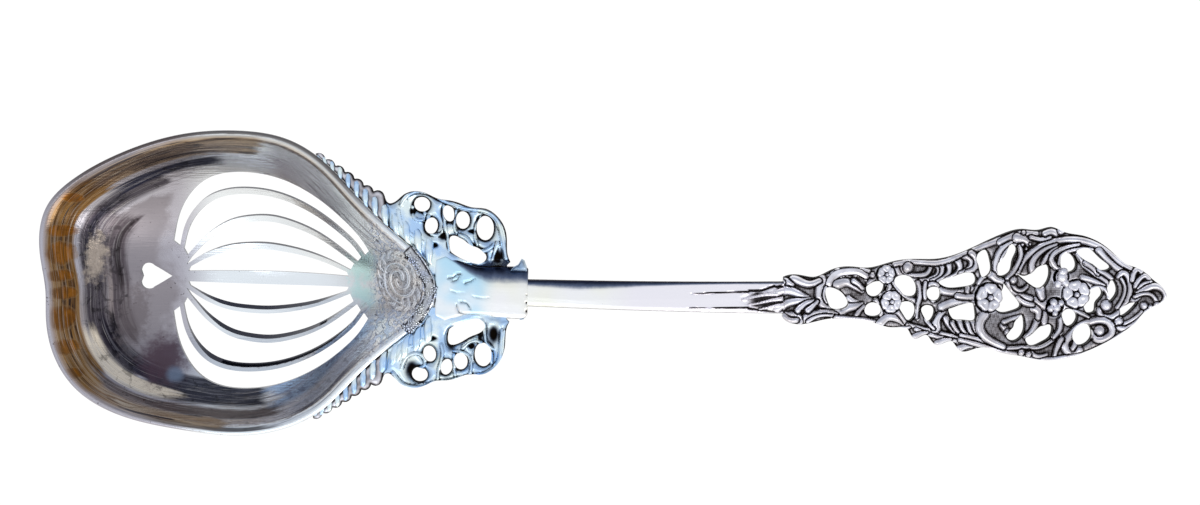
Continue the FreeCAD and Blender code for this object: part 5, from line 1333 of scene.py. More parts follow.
# Round ends and buds: place in shares and radius in millimetres
HANDLE_BALL_SHARES = (
    ((0.225, 0.32), 0.7), ((0.317, 0.43), 1.2), ((-0.003, 0.23), 0.6), ((0.847, -0.16), 1.25),
    ((0.88, -0.39), 1.0), ((0.943, -0.15), 0.85), ((0.977, -0.14), 0.8), ((0.832, -0.54), 1.2),
    ((0.722, 0.95), 0.9), ((0.62, 0.93), 0.5), ((0.625, -0.86), 0.8), ((0.645, -0.89), 0.75),
    ((0.585, -0.55), 0.75), ((0.597, 0.22), 0.9), ((0.618, 0.75), 0.35), ((0.628, 0.69), 0.35),
    ((0.638, 0.76), 0.35),
)
# Flowers: node, radius in millimetres, place in shares and turn
BLOSSOM_SHARES = (
    ("rosette_small", 1.9, (0.26, 0.33), 0.3), ("rosette_first", 2.25, (0.275, -0.07), 0.9),
    ("rosette_middle", 2.95, (0.533, -0.03), 0.2), ("rosette_large", 2.9, (0.768, 0.0), 0.55),
)
# Dark seats under the berries and the bell flower
BUD_SEAT_SHARES = ((1.9, (0.712, -0.19)), (1.6, (0.727, 0.26)))
FLOOR_LEVEL, STIPPLE = -0.15, 0.03
LINE_WIDENING = 1.55


def handle_place(along, across):
    return PLATE_X + along * HANDLE_LENGTH, across * HANDLE_HALF


def handle_carving(x, y, gap):
    """Rise over the plate's top, and polish, of the handle's ornament."""
    crest, leaf_polish = leaves(x, y, HANDLE_LINE_SHARES, handle_place, LINE_WIDENING)
    everywhere = np.arange(len(x))
    for spot, radius in HANDLE_BALL_SHARES:
        away = np.hypot(*(np.array([x, y]) - np.array(handle_place(*spot))[:, None]))
        lay_over(crest, leaf_polish, everywhere, away / radius, away - radius, 1.0)
    stipple = STIPPLE * np.sin(x * 7.3 + 2 * np.sin(y * 5.1)) * np.sin(y * 8.7 + 2 * np.sin(x * 6.7))
    floor = FLOOR_LEVEL + 0.55 * pillow(gap, 0.9) + stipple
    carved = crest * RELIEF * 0.95
    rise = np.where(crest > 0, np.maximum(floor, carved * (0.45 + 0.55 * pillow(gap, 0.5))), floor)
    ground = 0.12 + 0.22 * pillow(gap, 0.5) + 2 * stipple
    polish = np.where(crest > 0, 0.08 + 0.92 * leaf_polish, ground)
    seats = [(radius, share) for _, radius, share, _ in BLOSSOM_SHARES] + list(BUD_SEAT_SHARES)
    for radius, share in seats:
        away = np.hypot(*(np.array([x, y]) - np.array(handle_place(*share))[:, None]))
        rise = np.where(away < 1.05 * radius, np.minimum(rise, -0.1), rise)
        polish = np.where(away < 1.05 * radius, 0.2 * polish, polish)
    return rise, polish


def handle_pieces():
    top, bottom = height_along("handle_plate"), height_along("handle_plate", -1)
    loops = face_outlines("handle_plate")
    plate = relief_piece(
        "handle_relief", "ornament_silver", ORNAMENT, loops, top, bottom, handle_carving, 0.135, 0.3)
    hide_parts("handle_plate", "entry_scroll", "upper_volute", "lower_feather", "acanthus_scroll",
                "terminal_scroll", "lower_volute", "finial")
    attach(plate, "root")
    for name, radius, share, turn in BLOSSOM_SHARES:
        x, y = handle_place(*share)
        slope = math.atan2(float(top(x + 1) - top(x - 1)), 2.0)
        piece = flower(name + "_blossom", radius, (x, y, float(top(x)) + 0.9), slope, turn)
        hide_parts(name)
    return top


def round_bud(name, parts, node):
    """Closed round forms on the handle: places in millimetres, radii and stretch."""
    shape = bmesh.new()
    polish = shape.verts.layers.float.new("polish")
    for place, radius, stretch, turn in parts:
        matrix = Matrix.Translation(Vector(place) * MM) @ Matrix.Rotation(turn, 4, "Z")
        matrix = matrix @ Matrix.Diagonal((radius * stretch * MM, radius * MM, radius * MM, 1))
        made = bmesh.ops.create_icosphere(shape, subdivisions=4, radius=1.0, matrix=matrix)
        for vert in made["verts"]:
            lift = (vert.co.z / MM - place[2]) / radius
            vert[polish] = min(1.0, max(0.05, 0.75 + lift))
    mesh = bpy.data.meshes.new(name)
    shape.to_mesh(mesh)
    shape.free()
    mesh.materials.append(FLOWERS)
    piece = bpy.data.objects.new(name, mesh)
    bpy.context.scene.collection.objects.link(piece)
    finish_shading(mesh, 60)
    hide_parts(node)
    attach(piece, "root")
    return piece


def buds(top):
    berries = []
    for share, radius in (((0.716, -0.20), 0.82), ((0.707, -0.12), 0.80), ((0.699, -0.21), 0.72),
                          ((0.727, -0.13), 0.66), ((0.712, -0.28), 0.62)):
        x, y = handle_place(*share)
        berries.append(((x, y, float(top(x)) + 1.0), radius, 1.0, 0.0))
    round_bud("berries", berries, "berry_cluster")
    x, y = handle_place(0.727, 0.26)
    height = float(top(x)) + 0.8
    bell = [((x, y, height), 1.35, 0.95, 0.0), ((x + 0.15, y + 1.1, height + 0.45), 0.85, 1.25, 0.4),
            ((x - 0.1, y + 1.3, height + 0.9), 0.42, 1.0, 0.0), ((x - 0.7, y - 1.4, height - 0.1), 0.8, 1.3, 1.2),
            ((x + 0.9, y - 1.2, height - 0.1), 0.75, 1.3, -1.0)]
    round_bud("bell_flower", bell, "bell_bud")


# Wings, borders, cartouche and blossom band round the heel

# Straps and scrolls on either wing, and dark hollows (place, reach), in shares of a wing's length and half width
WING_LINE_SHARES = {
    1: (
        (((0.1, 0.8), (0.13, 0.66), (0.2, 0.56), (0.28, 0.49)), 0.4, 0.3, 0.8),
        (((0.2, 0.84), (0.21, 0.74), (0.25, 0.71), (0.29, 0.73), (0.28, 0.8)), 0.4, 0.35, 0.9),
        (((0.31, 0.75), (0.31, 0.64), (0.34, 0.57), (0.4, 0.58), (0.42, 0.66)), 0.45, 0.4, 0.9),
        (((0.42, 0.88), (0.42, 0.75), (0.43, 0.62), (0.45, 0.5), (0.46, 0.42)), 0.45, 0.4, 0.9),
        (((0.5, 0.86), (0.49, 0.72), (0.5, 0.61), (0.53, 0.56)), 0.4, 0.35, 0.9),
        (((0.53, 0.57), (0.58, 0.53), (0.62, 0.44), (0.68, 0.41), (0.74, 0.45), (0.78, 0.5)), 0.5, 0.5, 1.0),
        (((0.67, 0.76), (0.64, 0.68), (0.63, 0.58), (0.65, 0.48)), 0.3, 0.35, 0.9),
        (((0.79, 0.5), (0.77, 0.4), (0.75, 0.3), (0.73, 0.24)), 0.45, 0.35, 0.9),
        (((0.12, 0.86), (0.16, 0.95), (0.23, 1.0), (0.32, 0.99), (0.4, 0.93), (0.47, 0.88), (0.58, 0.84),
          (0.7, 0.82), (0.77, 0.76), (0.81, 0.64), (0.83, 0.5), (0.845, 0.35)), 0.45, 0.65, 1.0),
    ),
    -1: (
        (((0.11, 0.72), (0.15, 0.62), (0.22, 0.56), (0.27, 0.5)), 0.4, 0.3, 0.8),
        (((0.14, 0.8), (0.17, 0.7), (0.23, 0.65), (0.29, 0.69), (0.29, 0.78), (0.26, 0.8)), 0.45, 0.35, 0.9),
        (((0.41, 0.55), (0.42, 0.65), (0.4, 0.78), (0.39, 0.9)), 0.4, 0.35, 0.9),
        (((0.5, 0.64), (0.5, 0.75), (0.51, 0.86)), 0.35, 0.35, 0.8),
        (((0.5, 0.61), (0.55, 0.62), (0.61, 0.67), (0.62, 0.78), (0.61, 0.87)), 0.35, 0.35, 0.9),
        (((0.56, 0.58), (0.6, 0.53), (0.66, 0.5), (0.7, 0.54), (0.75, 0.62), (0.76, 0.72)), 0.45, 0.4, 1.0),
        (((0.69, 0.3), (0.71, 0.4), (0.72, 0.5), (0.77, 0.58)), 0.45, 0.35, 0.9),
        (((0.08, 0.86), (0.13, 0.95), (0.2, 0.99), (0.3, 0.98), (0.38, 0.95), (0.45, 0.93), (0.55, 0.9),
          (0.65, 0.87), (0.75, 0.81), (0.81, 0.7), (0.825, 0.55), (0.83, 0.4)), 0.45, 0.6, 1.0),
    ),
}
WING_HOLLOW_SHARES = {
    1: (((0.2, 0.8), (0.02, 0.04)), ((0.47, 0.78), (0.028, 0.085)), ((0.41, 0.56), (0.03, 0.05)),
        ((0.35, 0.46), (0.03, 0.025)), ((0.66, 0.7), (0.018, 0.06)), ((0.61, 0.61), (0.03, 0.022)),
        ((0.79, 0.35), (0.045, 0.09))),
    -1: (((0.21, 0.82), (0.055, 0.11)), ((0.34, 0.49), (0.04, 0.025)), ((0.475, 0.5), (0.03, 0.12)),
         ((0.62, 0.56), (0.025, 0.035)), ((0.54, 0.68), (0.02, 0.04)), ((0.65, 0.65), (0.015, 0.06)),
         ((0.68, 0.42), (0.022, 0.08)), ((0.77, 0.43), (0.04, 0.1))),
}
WING_START_X, WING_HALF = TIP_X + 0.866 * BOWL_LENGTH, 19.5
WING_LENGTH, WING_DROP = SHANK_X - WING_START_X, 1.35


def neck_half(x):
    """Half width of the neck and collar, which the wings run into smoothly."""
    return np.interp(x, (-36.0, -34.2, -32.3, -30.1, -28.1, -26.1, -16.0), (4.3, 6.4, 7.2, 6.2, 5.4, 4.8, 4.8))


def wing_carving(side):
    def place(along, across):
        return WING_START_X + along * WING_LENGTH, side * across * WING_HALF

    def carve(x, y, gap):
        lines, line_polish = leaves(x, y, WING_LINE_SHARES[side], place, 1.1)
        rise = -WING_DROP + 1.3 * pillow(gap, 1.8)
        rise = np.where(lines > 0, np.maximum(rise, -0.9 + 1.3 * lines), rise)
        polish = np.where(lines > 0, 0.2 + 0.8 * line_polish, 0.2 + 0.6 * pillow(gap, 1.2))
        # Painted shade: on the north wing the silver within 0.7 mm of every edge, round the holes too, is darkened,
        # standing for the dim room it would mirror
        polish = polish * (1 - 0.75 * np.clip(1 - gap / 0.7, 0, 1) * (y > 0))
        blend = np.clip((np.abs(y) - neck_half(x)) / 1.6, 0, 1)
        beside_neck = np.interp(x, (-36.0, -31.0, -27.0), (-0.05, -0.1, -2.2 if side > 0 else -0.6))
        rise = blend * rise + beside_neck * (1 - blend)
        polish = blend * polish + (1 - blend)
        along, across = (x - WING_START_X) / WING_LENGTH, side * y / WING_HALF
        for (spot_along, spot_across), (reach_along, reach_across) in WING_HOLLOW_SHARES[side]:
            reach = np.hypot((along - spot_along) / reach_along, (across - spot_across) / reach_across)
            dip = np.clip(1.35 - reach, 0, 1)
            rise = rise - 0.7 * dip
            polish = polish * (1 - dip)
        return rise, polish
    return carve


def plain_border(x, y, gap):
    return -1.0 + 0.4 * pillow(gap, 0.9), np.full(len(x), 0.4)


def flute_pattern(side):
    """One gadroon: an S-shaped ridge, thick in the middle, lying close to the rim's line."""
    line = spline([(-2.5, 0.75), (-1.7, 0.7), (-0.7, 0.25), (0.6, -0.25), (1.7, -0.6), (2.6, -0.5)], 18)
    halves = np.interp(np.linspace(0, 1, 18), (0, 0.2, 0.55, 0.85, 1), (0.5, 0.85, 0.92, 0.55, 0.12))
    heading = np.gradient(line, axis=0)
    heading /= np.linalg.norm(heading, axis=1)[:, None]
    normal = np.column_stack([-heading[:, 1], heading[:, 0]])
    sweep = np.linspace(0, math.pi, 9)
    points, polish = [], []
    for spot, across, half in zip(line, normal, halves):
        for angle in sweep:
            shift = across * half * math.cos(angle)
            points.append((spot[0] + shift[0], side * (spot[1] + shift[1]), 0.62 * half * math.sin(angle)))
            polish.append(0.42 + 0.58 * min(1.0, 1.6 * math.sin(angle)))
    count = len(sweep)
    faces = []
    for row in range(len(line) - 1):
        for step in range(count - 1):
            base = row * count + step
            faces.append((base, base + 1, base + count + 1, base + count))
        faces.append((row * count, (row + 1) * count, (row + 1) * count + count - 1, row * count + count - 1))
    faces.append(tuple(range(count)))
    faces.append(tuple((len(line) - 1) * count + step for step in reversed(range(count))))
    piece = new_piece(f"flute_pattern_{side + 1}", points, faces, "ornament_silver", ORNAMENT, {"polish": polish})
    outward(piece.data)
    return piece


# The row of flutes, in shares of the bowl's length, and how far it spreads outside the rim
FLUTE_START_SHARE, FLUTE_END_SHARE = 0.707, 0.962
FLUTE_INSET, FLUTE_SPREAD = 0.4, 2.4
FLUTE_LEAN = math.radians(-24)


def flute_line(side):
    """The row of flutes follows the bowl's rim and draws away from it towards the heel."""
    rim = RIM_LINE[(RIM_LINE[:, 1] * side > 0) & (RIM_LINE[:, 0] > DISH_CENTRE_X)]
    rim = rim[np.argsort(rim[:, 0])]
    share = np.linspace(0, 1, 30)
    along = TIP_X + (FLUTE_START_SHARE + (FLUTE_END_SHARE - FLUTE_START_SHARE) * share) * BOWL_LENGTH
    line = np.column_stack([along, np.interp(along, rim[:, 0], rim[:, 1])])
    heading = np.gradient(line, axis=0)
    normal = np.column_stack([-heading[:, 1], heading[:, 0]]) * side
    normal /= np.linalg.norm(normal, axis=1)[:, None]
    return line + normal * (FLUTE_SPREAD * share ** 0.6 - FLUTE_INSET)[:, None]


def border_pieces():
    for hand, side in (("left", 1), ("right", -1)):
        node = f"leaf_border_{hand}"
        base = relief_piece(
            f"{node}_bed", "ornament_silver", ORNAMENT, face_outlines(node), height_along(node),
            height_along(node, -1), plain_border, 0.3)
        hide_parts(node)
        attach(base, "root")
        line = flute_line(side)
        heights = rim_height(line[:, 0]) - 0.55 + 0.5 * np.linspace(0, 1, len(line))
        host_mesh = bpy.data.meshes.new(f"flute_line_{hand}")
        host_mesh.from_pydata(
            [tuple(spot) for spot in np.column_stack([line, heights]) * MM],
            [(step, step + 1) for step in range(len(line) - 1)], [])
        host = bpy.data.objects.new(f"flute_line_{hand}", host_mesh)
        bpy.context.scene.collection.objects.link(host)
        pattern = flute_pattern(side)
        flutes = grown(host, FLUTE_TREE, {
            "Flute": pattern, "Count": 13, "Start Size": 0.36, "End Size": 1.0,
            "Lean": side * FLUTE_LEAN, "Tilt": 0.0, "Material": HEEL_ORNAMENT}, f"flutes_{hand}")
        bpy.data.objects.remove(pattern)
        finish_shading(flutes.data, 60)
        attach(flutes, "root")


def wing_pieces():
    for hand, side in (("left", 1), ("right", -1)):
        node = f"scroll_wing_{hand}"
        piece = relief_piece(
            f"{node}_relief", "ornament_silver", HEEL_ORNAMENT, face_outlines(node), height_along(node),
            height_along(node, -1), wing_carving(side), 0.16, 0.4)
        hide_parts(node)
        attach(piece, "root")


# The cartouche: middle, reach along and across, and tilt of its oval
CARTOUCHE_MIDDLE, CARTOUCHE_REACH, CARTOUCHE_TILT = (-41.9, 1.5), (4.9, 6.4), math.radians(14)
CURL_TURNS, CURL_ARMS, EDGE_LEAVES = 1.25, 2, 16


def cartouche_spot(turn, share):
    """A place in the cartouche's oval: a share of a whole turn, and a share of the way out."""
    along = share * CARTOUCHE_REACH[0] * math.cos(turn * math.tau)
    across = share * CARTOUCHE_REACH[1] * math.sin(turn * math.tau)
    lean, rest = math.sin(CARTOUCHE_TILT), math.cos(CARTOUCHE_TILT)
    return CARTOUCHE_MIDDLE[0] + rest * along - lean * across, CARTOUCHE_MIDDLE[1] + lean * along + rest * across


def cartouche_curls():
    """Curls that wind out from a small eye, and short leaf cuts round the edge."""
    curls = []
    for arm in range(CURL_ARMS):
        steps = np.linspace(0, 1, 10)
        wind = tuple((arm / CURL_ARMS + CURL_TURNS * step, 0.16 + 0.66 * step) for step in steps)
        curls.append((wind, 0.32, 0.18, 1.0))
    for leaf in range(EDGE_LEAVES):
        turn = leaf / EDGE_LEAVES
        reach = 0.66 + 0.1 * math.sin(5 * leaf)
        curls.append((((turn, 0.96), (turn + 0.03, 0.88), (turn + 0.05, reach)), 0.3, 0.12, 0.8))
    return tuple(curls)


def as_written(x, y):
    return x, y


def cartouche_carving(x, y, gap):
    """Chased curls round a small eye, over a closely stippled ground."""
    curls = np.clip(ridges(x, y, cartouche_curls(), cartouche_spot), 0, 1)
    stipple = np.sin(x * 9.1 + 3 * np.sin(y * 4.0)) * np.sin(y * 10.3 + 2 * np.sin(x * 5.0))
    rise = 0.18 * pillow(gap, 0.8) + 0.2 * curls + 0.05 * stipple * (1 - curls)
    return rise, np.where(curls > 0, np.clip(0.6 + curls, 0, 1), 0.66 + 0.16 * stipple)


def cartouche_piece():
    """The cartouche lies on the bowl's curved floor, sunk a little into it."""
    outline = np.array([cartouche_spot(step / 90, 1.0) for step in range(90)])
    piece = relief_piece(
        "chased_cartouche", "ornament_silver", CARTOUCHE, [outline], lambda x: 0 * x, lambda x: 0 * x - 0.35,
        cartouche_carving, 0.13, 0.22, full_back=True)
    for vert in piece.data.vertices:
        x, y = vert.co.x / MM, vert.co.y / MM
        vert.co.z += float(floor_height(np.array([x]), np.array([y]))[0]) * MM
    piece.data.update()
    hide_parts("cartouche")
    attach(piece, "root")


def blossom_band():
    """A crescent of tiny blossoms on the rim, where the heel meets the neck."""
    base = relief_piece(
        "blossom_bed", "ornament_silver", BLOSSOM_BED, face_outlines("blossom_band"),
        lambda x: rim_height(x) + 0.35, lambda x: rim_height(x) - 0.2,
        lambda x, y, gap: (0.3 * pillow(gap, 0.8), np.full(len(x), 0.35)), 0.25)
    blossom = grown(empty_host("tiny_blossom_host"), FLOWER_TREE, {
        "Petal": small_petal(), "Eye": EYE, "Petals": 5, "Radius": 0.62 * MM, "Turn": 0.0, "Material": BLOSSOM_BED},
        "tiny_blossom")
    band = grown(base, SCATTER_TREE, {
        "Blossom": blossom, "Density": 3e6, "Spacing": 0.62 * MM, "Seed": 11, "Smallest": 0.6, "Largest": 1.15,
        "Material": BLOSSOM_BED}, "blossom_crescent")
    bpy.data.objects.remove(blossom)
    finish_shading(band.data, 50)
    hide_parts("blossom_band")
    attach(band, "root")


def small_petal():
    outline = [(0.15, 0.0), (0.5, 0.34), (0.9, 0.26), (0.98, 0.0), (0.9, -0.26), (0.5, -0.34)]
    return dome_mesh("tiny_petal_pattern", outline, 0.5, 0.25, 0.3, 3)


# Neck, collar and shank: bars with a ridge, a wide bevel on one side and a round other edge

def bar_section(north, ridge, south, drop, thick, lower_bevel, count=120):
    """Points round a section, from the ridge over the round edge and the underside, back up."""
    round_edge = min(0.8, thick * 0.4)
    bevel = min(lower_bevel, thick * 0.45)
    corners = [
        (ridge, 0.0), ((ridge + south) / 2, 0.03), (south + round_edge, -0.02),
        (south + 0.25 * round_edge, -0.25 * round_edge), (south, -round_edge), (south, -thick + bevel),
        (south + 0.3 * bevel, -thick + 0.3 * bevel), (south + bevel, -thick), (north - bevel, -thick),
        (north - 0.3 * bevel, -thick + 0.3 * bevel), (north, -thick + bevel), (north, -drop - 0.15),
    ]
    corners += [(ridge + (north - ridge) * share, -drop * share ** 1.7) for share in (1.0, 0.85, 0.7, 0.55, 0.4, 0.2)]
    return spaced(np.array(corners), 1e-9 + total_length(corners) / count)[:count]


def total_length(corners):
    closed = np.array(corners + corners[:1])
    return float(np.linalg.norm(np.diff(closed, axis=0), axis=1).sum())


def bar_piece(name, slot, material, stations, step, carve, nodes, edge_shade=0.85):
    """A closed bar through stations of (x, top, north, ridge, south, drop, thick, bevel)."""
    stations = np.array(stations, float)
    xs = np.linspace(stations[0, 0], stations[-1, 0], int((stations[-1, 0] - stations[0, 0]) / step) + 1)
    values = [np.interp(xs, stations[:, 0], stations[:, column]) for column in range(1, stations.shape[1])]
    rows = []
    bevel_reflection_shares, edges = [], []
    for x, top, *shape in zip(xs, *values):
        section = bar_section(*shape)
        across, up = section.T
        rows.append(np.column_stack([np.full(len(section), x), across, top + up]))
        north, ridge, south, drop = shape[:4]
        # Share across the sloping bevel, where the bright silver paints a dark reflection
        on_side = np.clip(1 + (up + drop) / 0.8, 0, 1)
        bevel_reflection_shares.append(np.clip((across - ridge) / (north - ridge), 0, 1) * on_side)
        edges.append(np.clip(1 - (across - south) / 0.32, 0, 1) + np.clip(1 - (north - across) / 0.12, 0, 1))
    points = np.vstack(rows)
    count = len(rows[0])
    tops = np.repeat(values[0], count)
    near_top = np.clip(1 + (points[:, 2] - tops) / 0.6, 0, 1)
    rise, polish = carve(points[:, 0], points[:, 1])
    points[:, 2] += rise * near_top
    polish = polish * near_top + 0.9 * (1 - near_top)
    polish = polish * (1 - edge_shade * np.clip(np.concatenate(edges), 0, 1))
    faces = []
    for row in range(len(rows) - 1):
        for spot in range(count):
            after = (spot + 1) % count
            base = row * count
            faces.append((base + spot, base + after, base + count + after, base + count + spot))
    faces.append(tuple(reversed(range(count))))
    faces.append(tuple((len(rows) - 1) * count + spot for spot in range(count)))
    marks = {"polish": polish, "bevel": np.concatenate(bevel_reflection_shares)}
    piece = new_piece(name, points, faces, slot, material, marks, 40)
    outward(piece.data)
    finish_shading(piece.data, 40)
    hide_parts(*nodes)
    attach(piece, "root")
    return piece


# Leaf-shaped nicks and chased lines on the neck, in millimetres
NECK_NICKS = (
    (((-31.8, 2.5), (-30.8, 2.7), (-30.0, 3.3), (-29.3, 3.4)), 0.25, 0.3, 0.9),
    (((-30.9, 1.9), (-30.1, 2.2), (-29.6, 2.9)), 0.3, 0.2, 0.9),
    (((-28.5, 1.6), (-27.6, 1.9), (-26.5, 2.6)), 0.3, 0.12, 0.9),
    (((-26.7, -1.0), (-25.2, -1.2), (-23.6, -1.1)), 0.14, 0.1, 0.5),
    (((-30.0, -2.6), (-29.6, -4.1), (-28.2, -4.5)), 0.22, 0.15, 0.8),
    (((-29.4, -2.2), (-28.0, -2.4), (-27.3, -3.5)), 0.22, 0.15, 0.8),
    (((-31.4, 0.2), (-30.0, -0.3), (-28.6, -0.2)), 0.12, 0.1, 0.4),
)


def neck_carving(x, y):
    cuts = np.clip(ridges(x, y, NECK_NICKS, as_written), 0, 1)
    return -0.35 * cuts, 1 - 0.85 * cuts


SHANK_LINES = (
    (((-0.235, 0.045), (-0.16, 0.07), (-0.085, 0.085)), 0.10, 0.28, 1.0),
    (((-0.232, -0.155), (-0.16, -0.15), (-0.085, -0.145)), 0.10, 0.28, 1.0),
    (((-0.085, 0.10), (-0.05, 0.115), (-0.02, 0.17), (0.0, 0.15)), 0.30, 0.35, 1.0),
    (((-0.085, -0.16), (-0.05, -0.18), (-0.02, -0.20), (0.0, -0.18)), 0.30, 0.35, 1.0),
)
# Leaf tips that lie in a dark hollow where the shank meets the ornament
SHANK_LEAVES = (
    (((-0.100, -0.03), (-0.075, 0.01), (-0.045, 0.05), (-0.015, 0.06)), 0.2, 0.5, 1.0),
    (((-0.085, -0.10), (-0.060, -0.07), (-0.030, -0.03), (-0.005, -0.01)), 0.2, 0.5, 1.0),
    (((-0.060, -0.16), (-0.035, -0.13), (-0.010, -0.10)), 0.2, 0.45, 1.0),
)
PANEL_START_X, PANEL_END_X = 25.5, 29.0
PANEL_MIDDLE_Y, PANEL_HALF = -0.4, 1.7


def shank_carving(x, y):
    cuts = np.clip(ridges(x, y, SHANK_LINES, handle_place), 0, 1)
    leaf = np.clip(ridges(x, y, HANDLE_FOOT_SHARES + SHANK_LEAVES, handle_place), 0, 1)
    swell = np.clip((x - 24.0) / 6.0, 0, 1)
    along = np.clip((x - PANEL_START_X) / (PANEL_END_X - PANEL_START_X), 0, 1)
    panel = along * np.clip((PANEL_HALF * (0.4 + 0.6 * along) - np.abs(y - PANEL_MIDDLE_Y)) / 0.4, 0, 1)
    hollow = np.maximum(0.8 * panel, cuts)
    rise = 0.9 * swell * leaf - 0.4 * hollow * np.where(leaf > 0, 0.2, 1.0) + 0.55 * swell ** 2
    polish = np.where(leaf > 0.3, 0.3 + 0.7 * leaf, 1 - hollow)
    return rise, polish


def collar_carving(x, y):
    pits = np.zeros(len(x))
    for px, py, radius in SOLDER_PITS:
        pits = np.maximum(pits, np.clip(1.2 - np.hypot(x - px, y - py) / radius, 0, 1))
    return -0.3 * pits, 1 - pits


SOLDER_PITS = ((-16.15, -1.9, 0.35), (-16.05, -3.6, 0.5), (-16.1, -0.4, 0.2))


def bars():
    def rim(x):
        return rim_height(x)

    bar_piece("bevelled_neck", "bright_silver", BRIGHT, (
        (-40.4, rim(-40.4) - 4.8, 3.0, 1.0, -3.0, 0.1, 0.35, 0.2),
        (-38.0, 17.3, 3.6, 1.5, -3.6, 0.3, 1.8, 0.6),
        (-36.0, 19.2, 4.3, 2.0, -4.3, 0.5, 3.2, 1.2),
        (-34.2, rim(-34.2), 6.4, 5.9, -5.6, 0.35, 4.3, 1.4),
        (-32.3, rim(-32.3), 7.2, 6.6, -6.4, 0.4, 4.4, 1.4),
        (-30.1, rim(-30.1), 6.2, 5.2, -5.5, 0.7, 4.4, 1.4),
        (-28.1, rim(-28.1), 5.4, 3.6, -4.8, 1.1, 4.4, 1.4),
        (-26.1, rim(-26.1), 4.8, 2.3, -4.8, 1.5, 4.4, 1.4),
        (-24.2, rim(-24.2), 4.75, 1.3, -4.9, 1.9, 4.4, 1.4),
        (COLLAR_X, rim(COLLAR_X), 4.75, 1.1, -4.9, 2.0, 4.4, 1.4),
    ), 0.25, neck_carving, ("neck",), 0.0)
    bar_piece("collar_bar", "bright_silver", BRIGHT, (
        (COLLAR_X - 0.02, rim(COLLAR_X) + 0.03, 4.8, 1.1, -4.95, 2.0, 4.7, 1.4),
        (-22.7, rim(-22.7) + 0.07, 4.9, 1.1, -5.1, 2.0, 4.8, 1.4),
        (-19.7, rim(-19.7) + 0.1, 4.9, 1.1, -5.15, 2.1, 5.0, 1.4),
        (-17.2, rim(-17.2) + 0.12, 5.0, 1.2, -5.2, 2.1, 5.1, 1.4),
        (-16.35, rim(-16.35) + 0.1, 4.9, 1.2, -4.9, 2.1, 5.1, 1.5),
        (SHANK_X, rim(SHANK_X) - 0.1, 4.5, 1.2, -4.3, 2.0, 4.9, 1.6),
    ), 0.2, collar_carving, ("neck_collar",))
    thorns()
    shank_top, shank_low = height_along("shank"), height_along("shank", -1)
    stations = []
    for x, ridge, drop in (
        (SHANK_X, 1.25, 0.8), (-11.0, 1.0, 1.0), (-6.0, 0.7, 1.2), (-1.5, 1.0, 1.0), (3.0, 1.38, 0.85),
        (7.5, 1.83, 0.6), (12.0, 2.1, 0.5), (19.0, 2.4, 0.35), (30.0, 2.7, 0.25), (PLATE_X + 0.05, 2.8, 0.2),
    ):
        share = (x - SHANK_X) / (PLATE_X - SHANK_X)
        high = float(shank_top(x))
        stations.append((x, high, 2.55 + 0.6 * share, ridge, -2.65 - 0.55 * share, drop,
                         high - float(shank_low(x)), 0.7))
    fine = []
    stations = np.array(stations)
    for x in np.linspace(SHANK_X, PLATE_X + 0.05, 60):
        row = [np.interp(x, stations[:, 0], stations[:, column]) for column in range(1, 8)]
        row[0] = float(shank_top(x))
        row[5] = row[0] - float(shank_low(x))
        fine.append((x, *row))
    bar_piece("plain_shank", "bright_silver", BRIGHT, fine, 0.3, shank_carving, ("shank", "shank_leaf"))


def thorns():
    """Two small pointed thorns on the collar's flanks, near its end."""
    points, faces = [], []
    for side, size in ((1, 1.0), (-1, 0.5)):
        outline = np.array([(-19.6, 4.2), (-18.9, 5.0), (-18.0, 5.5), (-17.3, 6.7), (-16.7, 6.3), (-16.3, 5.2),
                            (-16.2, 4.2)]) * (1, side * size) + (0, side * (1 - size) * 4.2)
        start, count = len(points), len(outline)
        middle = outline.mean(axis=0)
        for share, rise in ((1.0, -1.9), (1.0, -0.9), (0.8, -0.45), (0.35, -0.2)):
            for x, y in middle + (outline - middle) * share:
                points.append((x, y, rim_height(x) + rise))
        for layer in range(3):
            for step in range(count):
                after = (step + 1) % count
                base = start + layer * count
                faces.append((base + step, base + after, base + count + after, base + count + step))
        faces.append(tuple(start + 3 * count + step for step in range(count)))
        faces.append(tuple(start + step for step in reversed(range(count))))
    piece = new_piece(
        "collar_thorns", points, faces, "bright_silver", HEEL_ORNAMENT, {"polish": [0.45] * len(points)}, 40)
    outward(piece.data)
    finish_shading(piece.data, 40)
    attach(piece, "root")


bowl_piece()
cartouche_piece()
blossom_band()
border_pieces()
wing_pieces()
bars()
plate_top = handle_pieces()
buds(plate_top)
for pattern in ("petal_pattern", "flower_eye_pattern", "tiny_petal_pattern"):
    bpy.data.objects.remove(bpy.data.objects[pattern])


# Floor, light and camera

PLAIN_WHITE_SHARE = 0.92


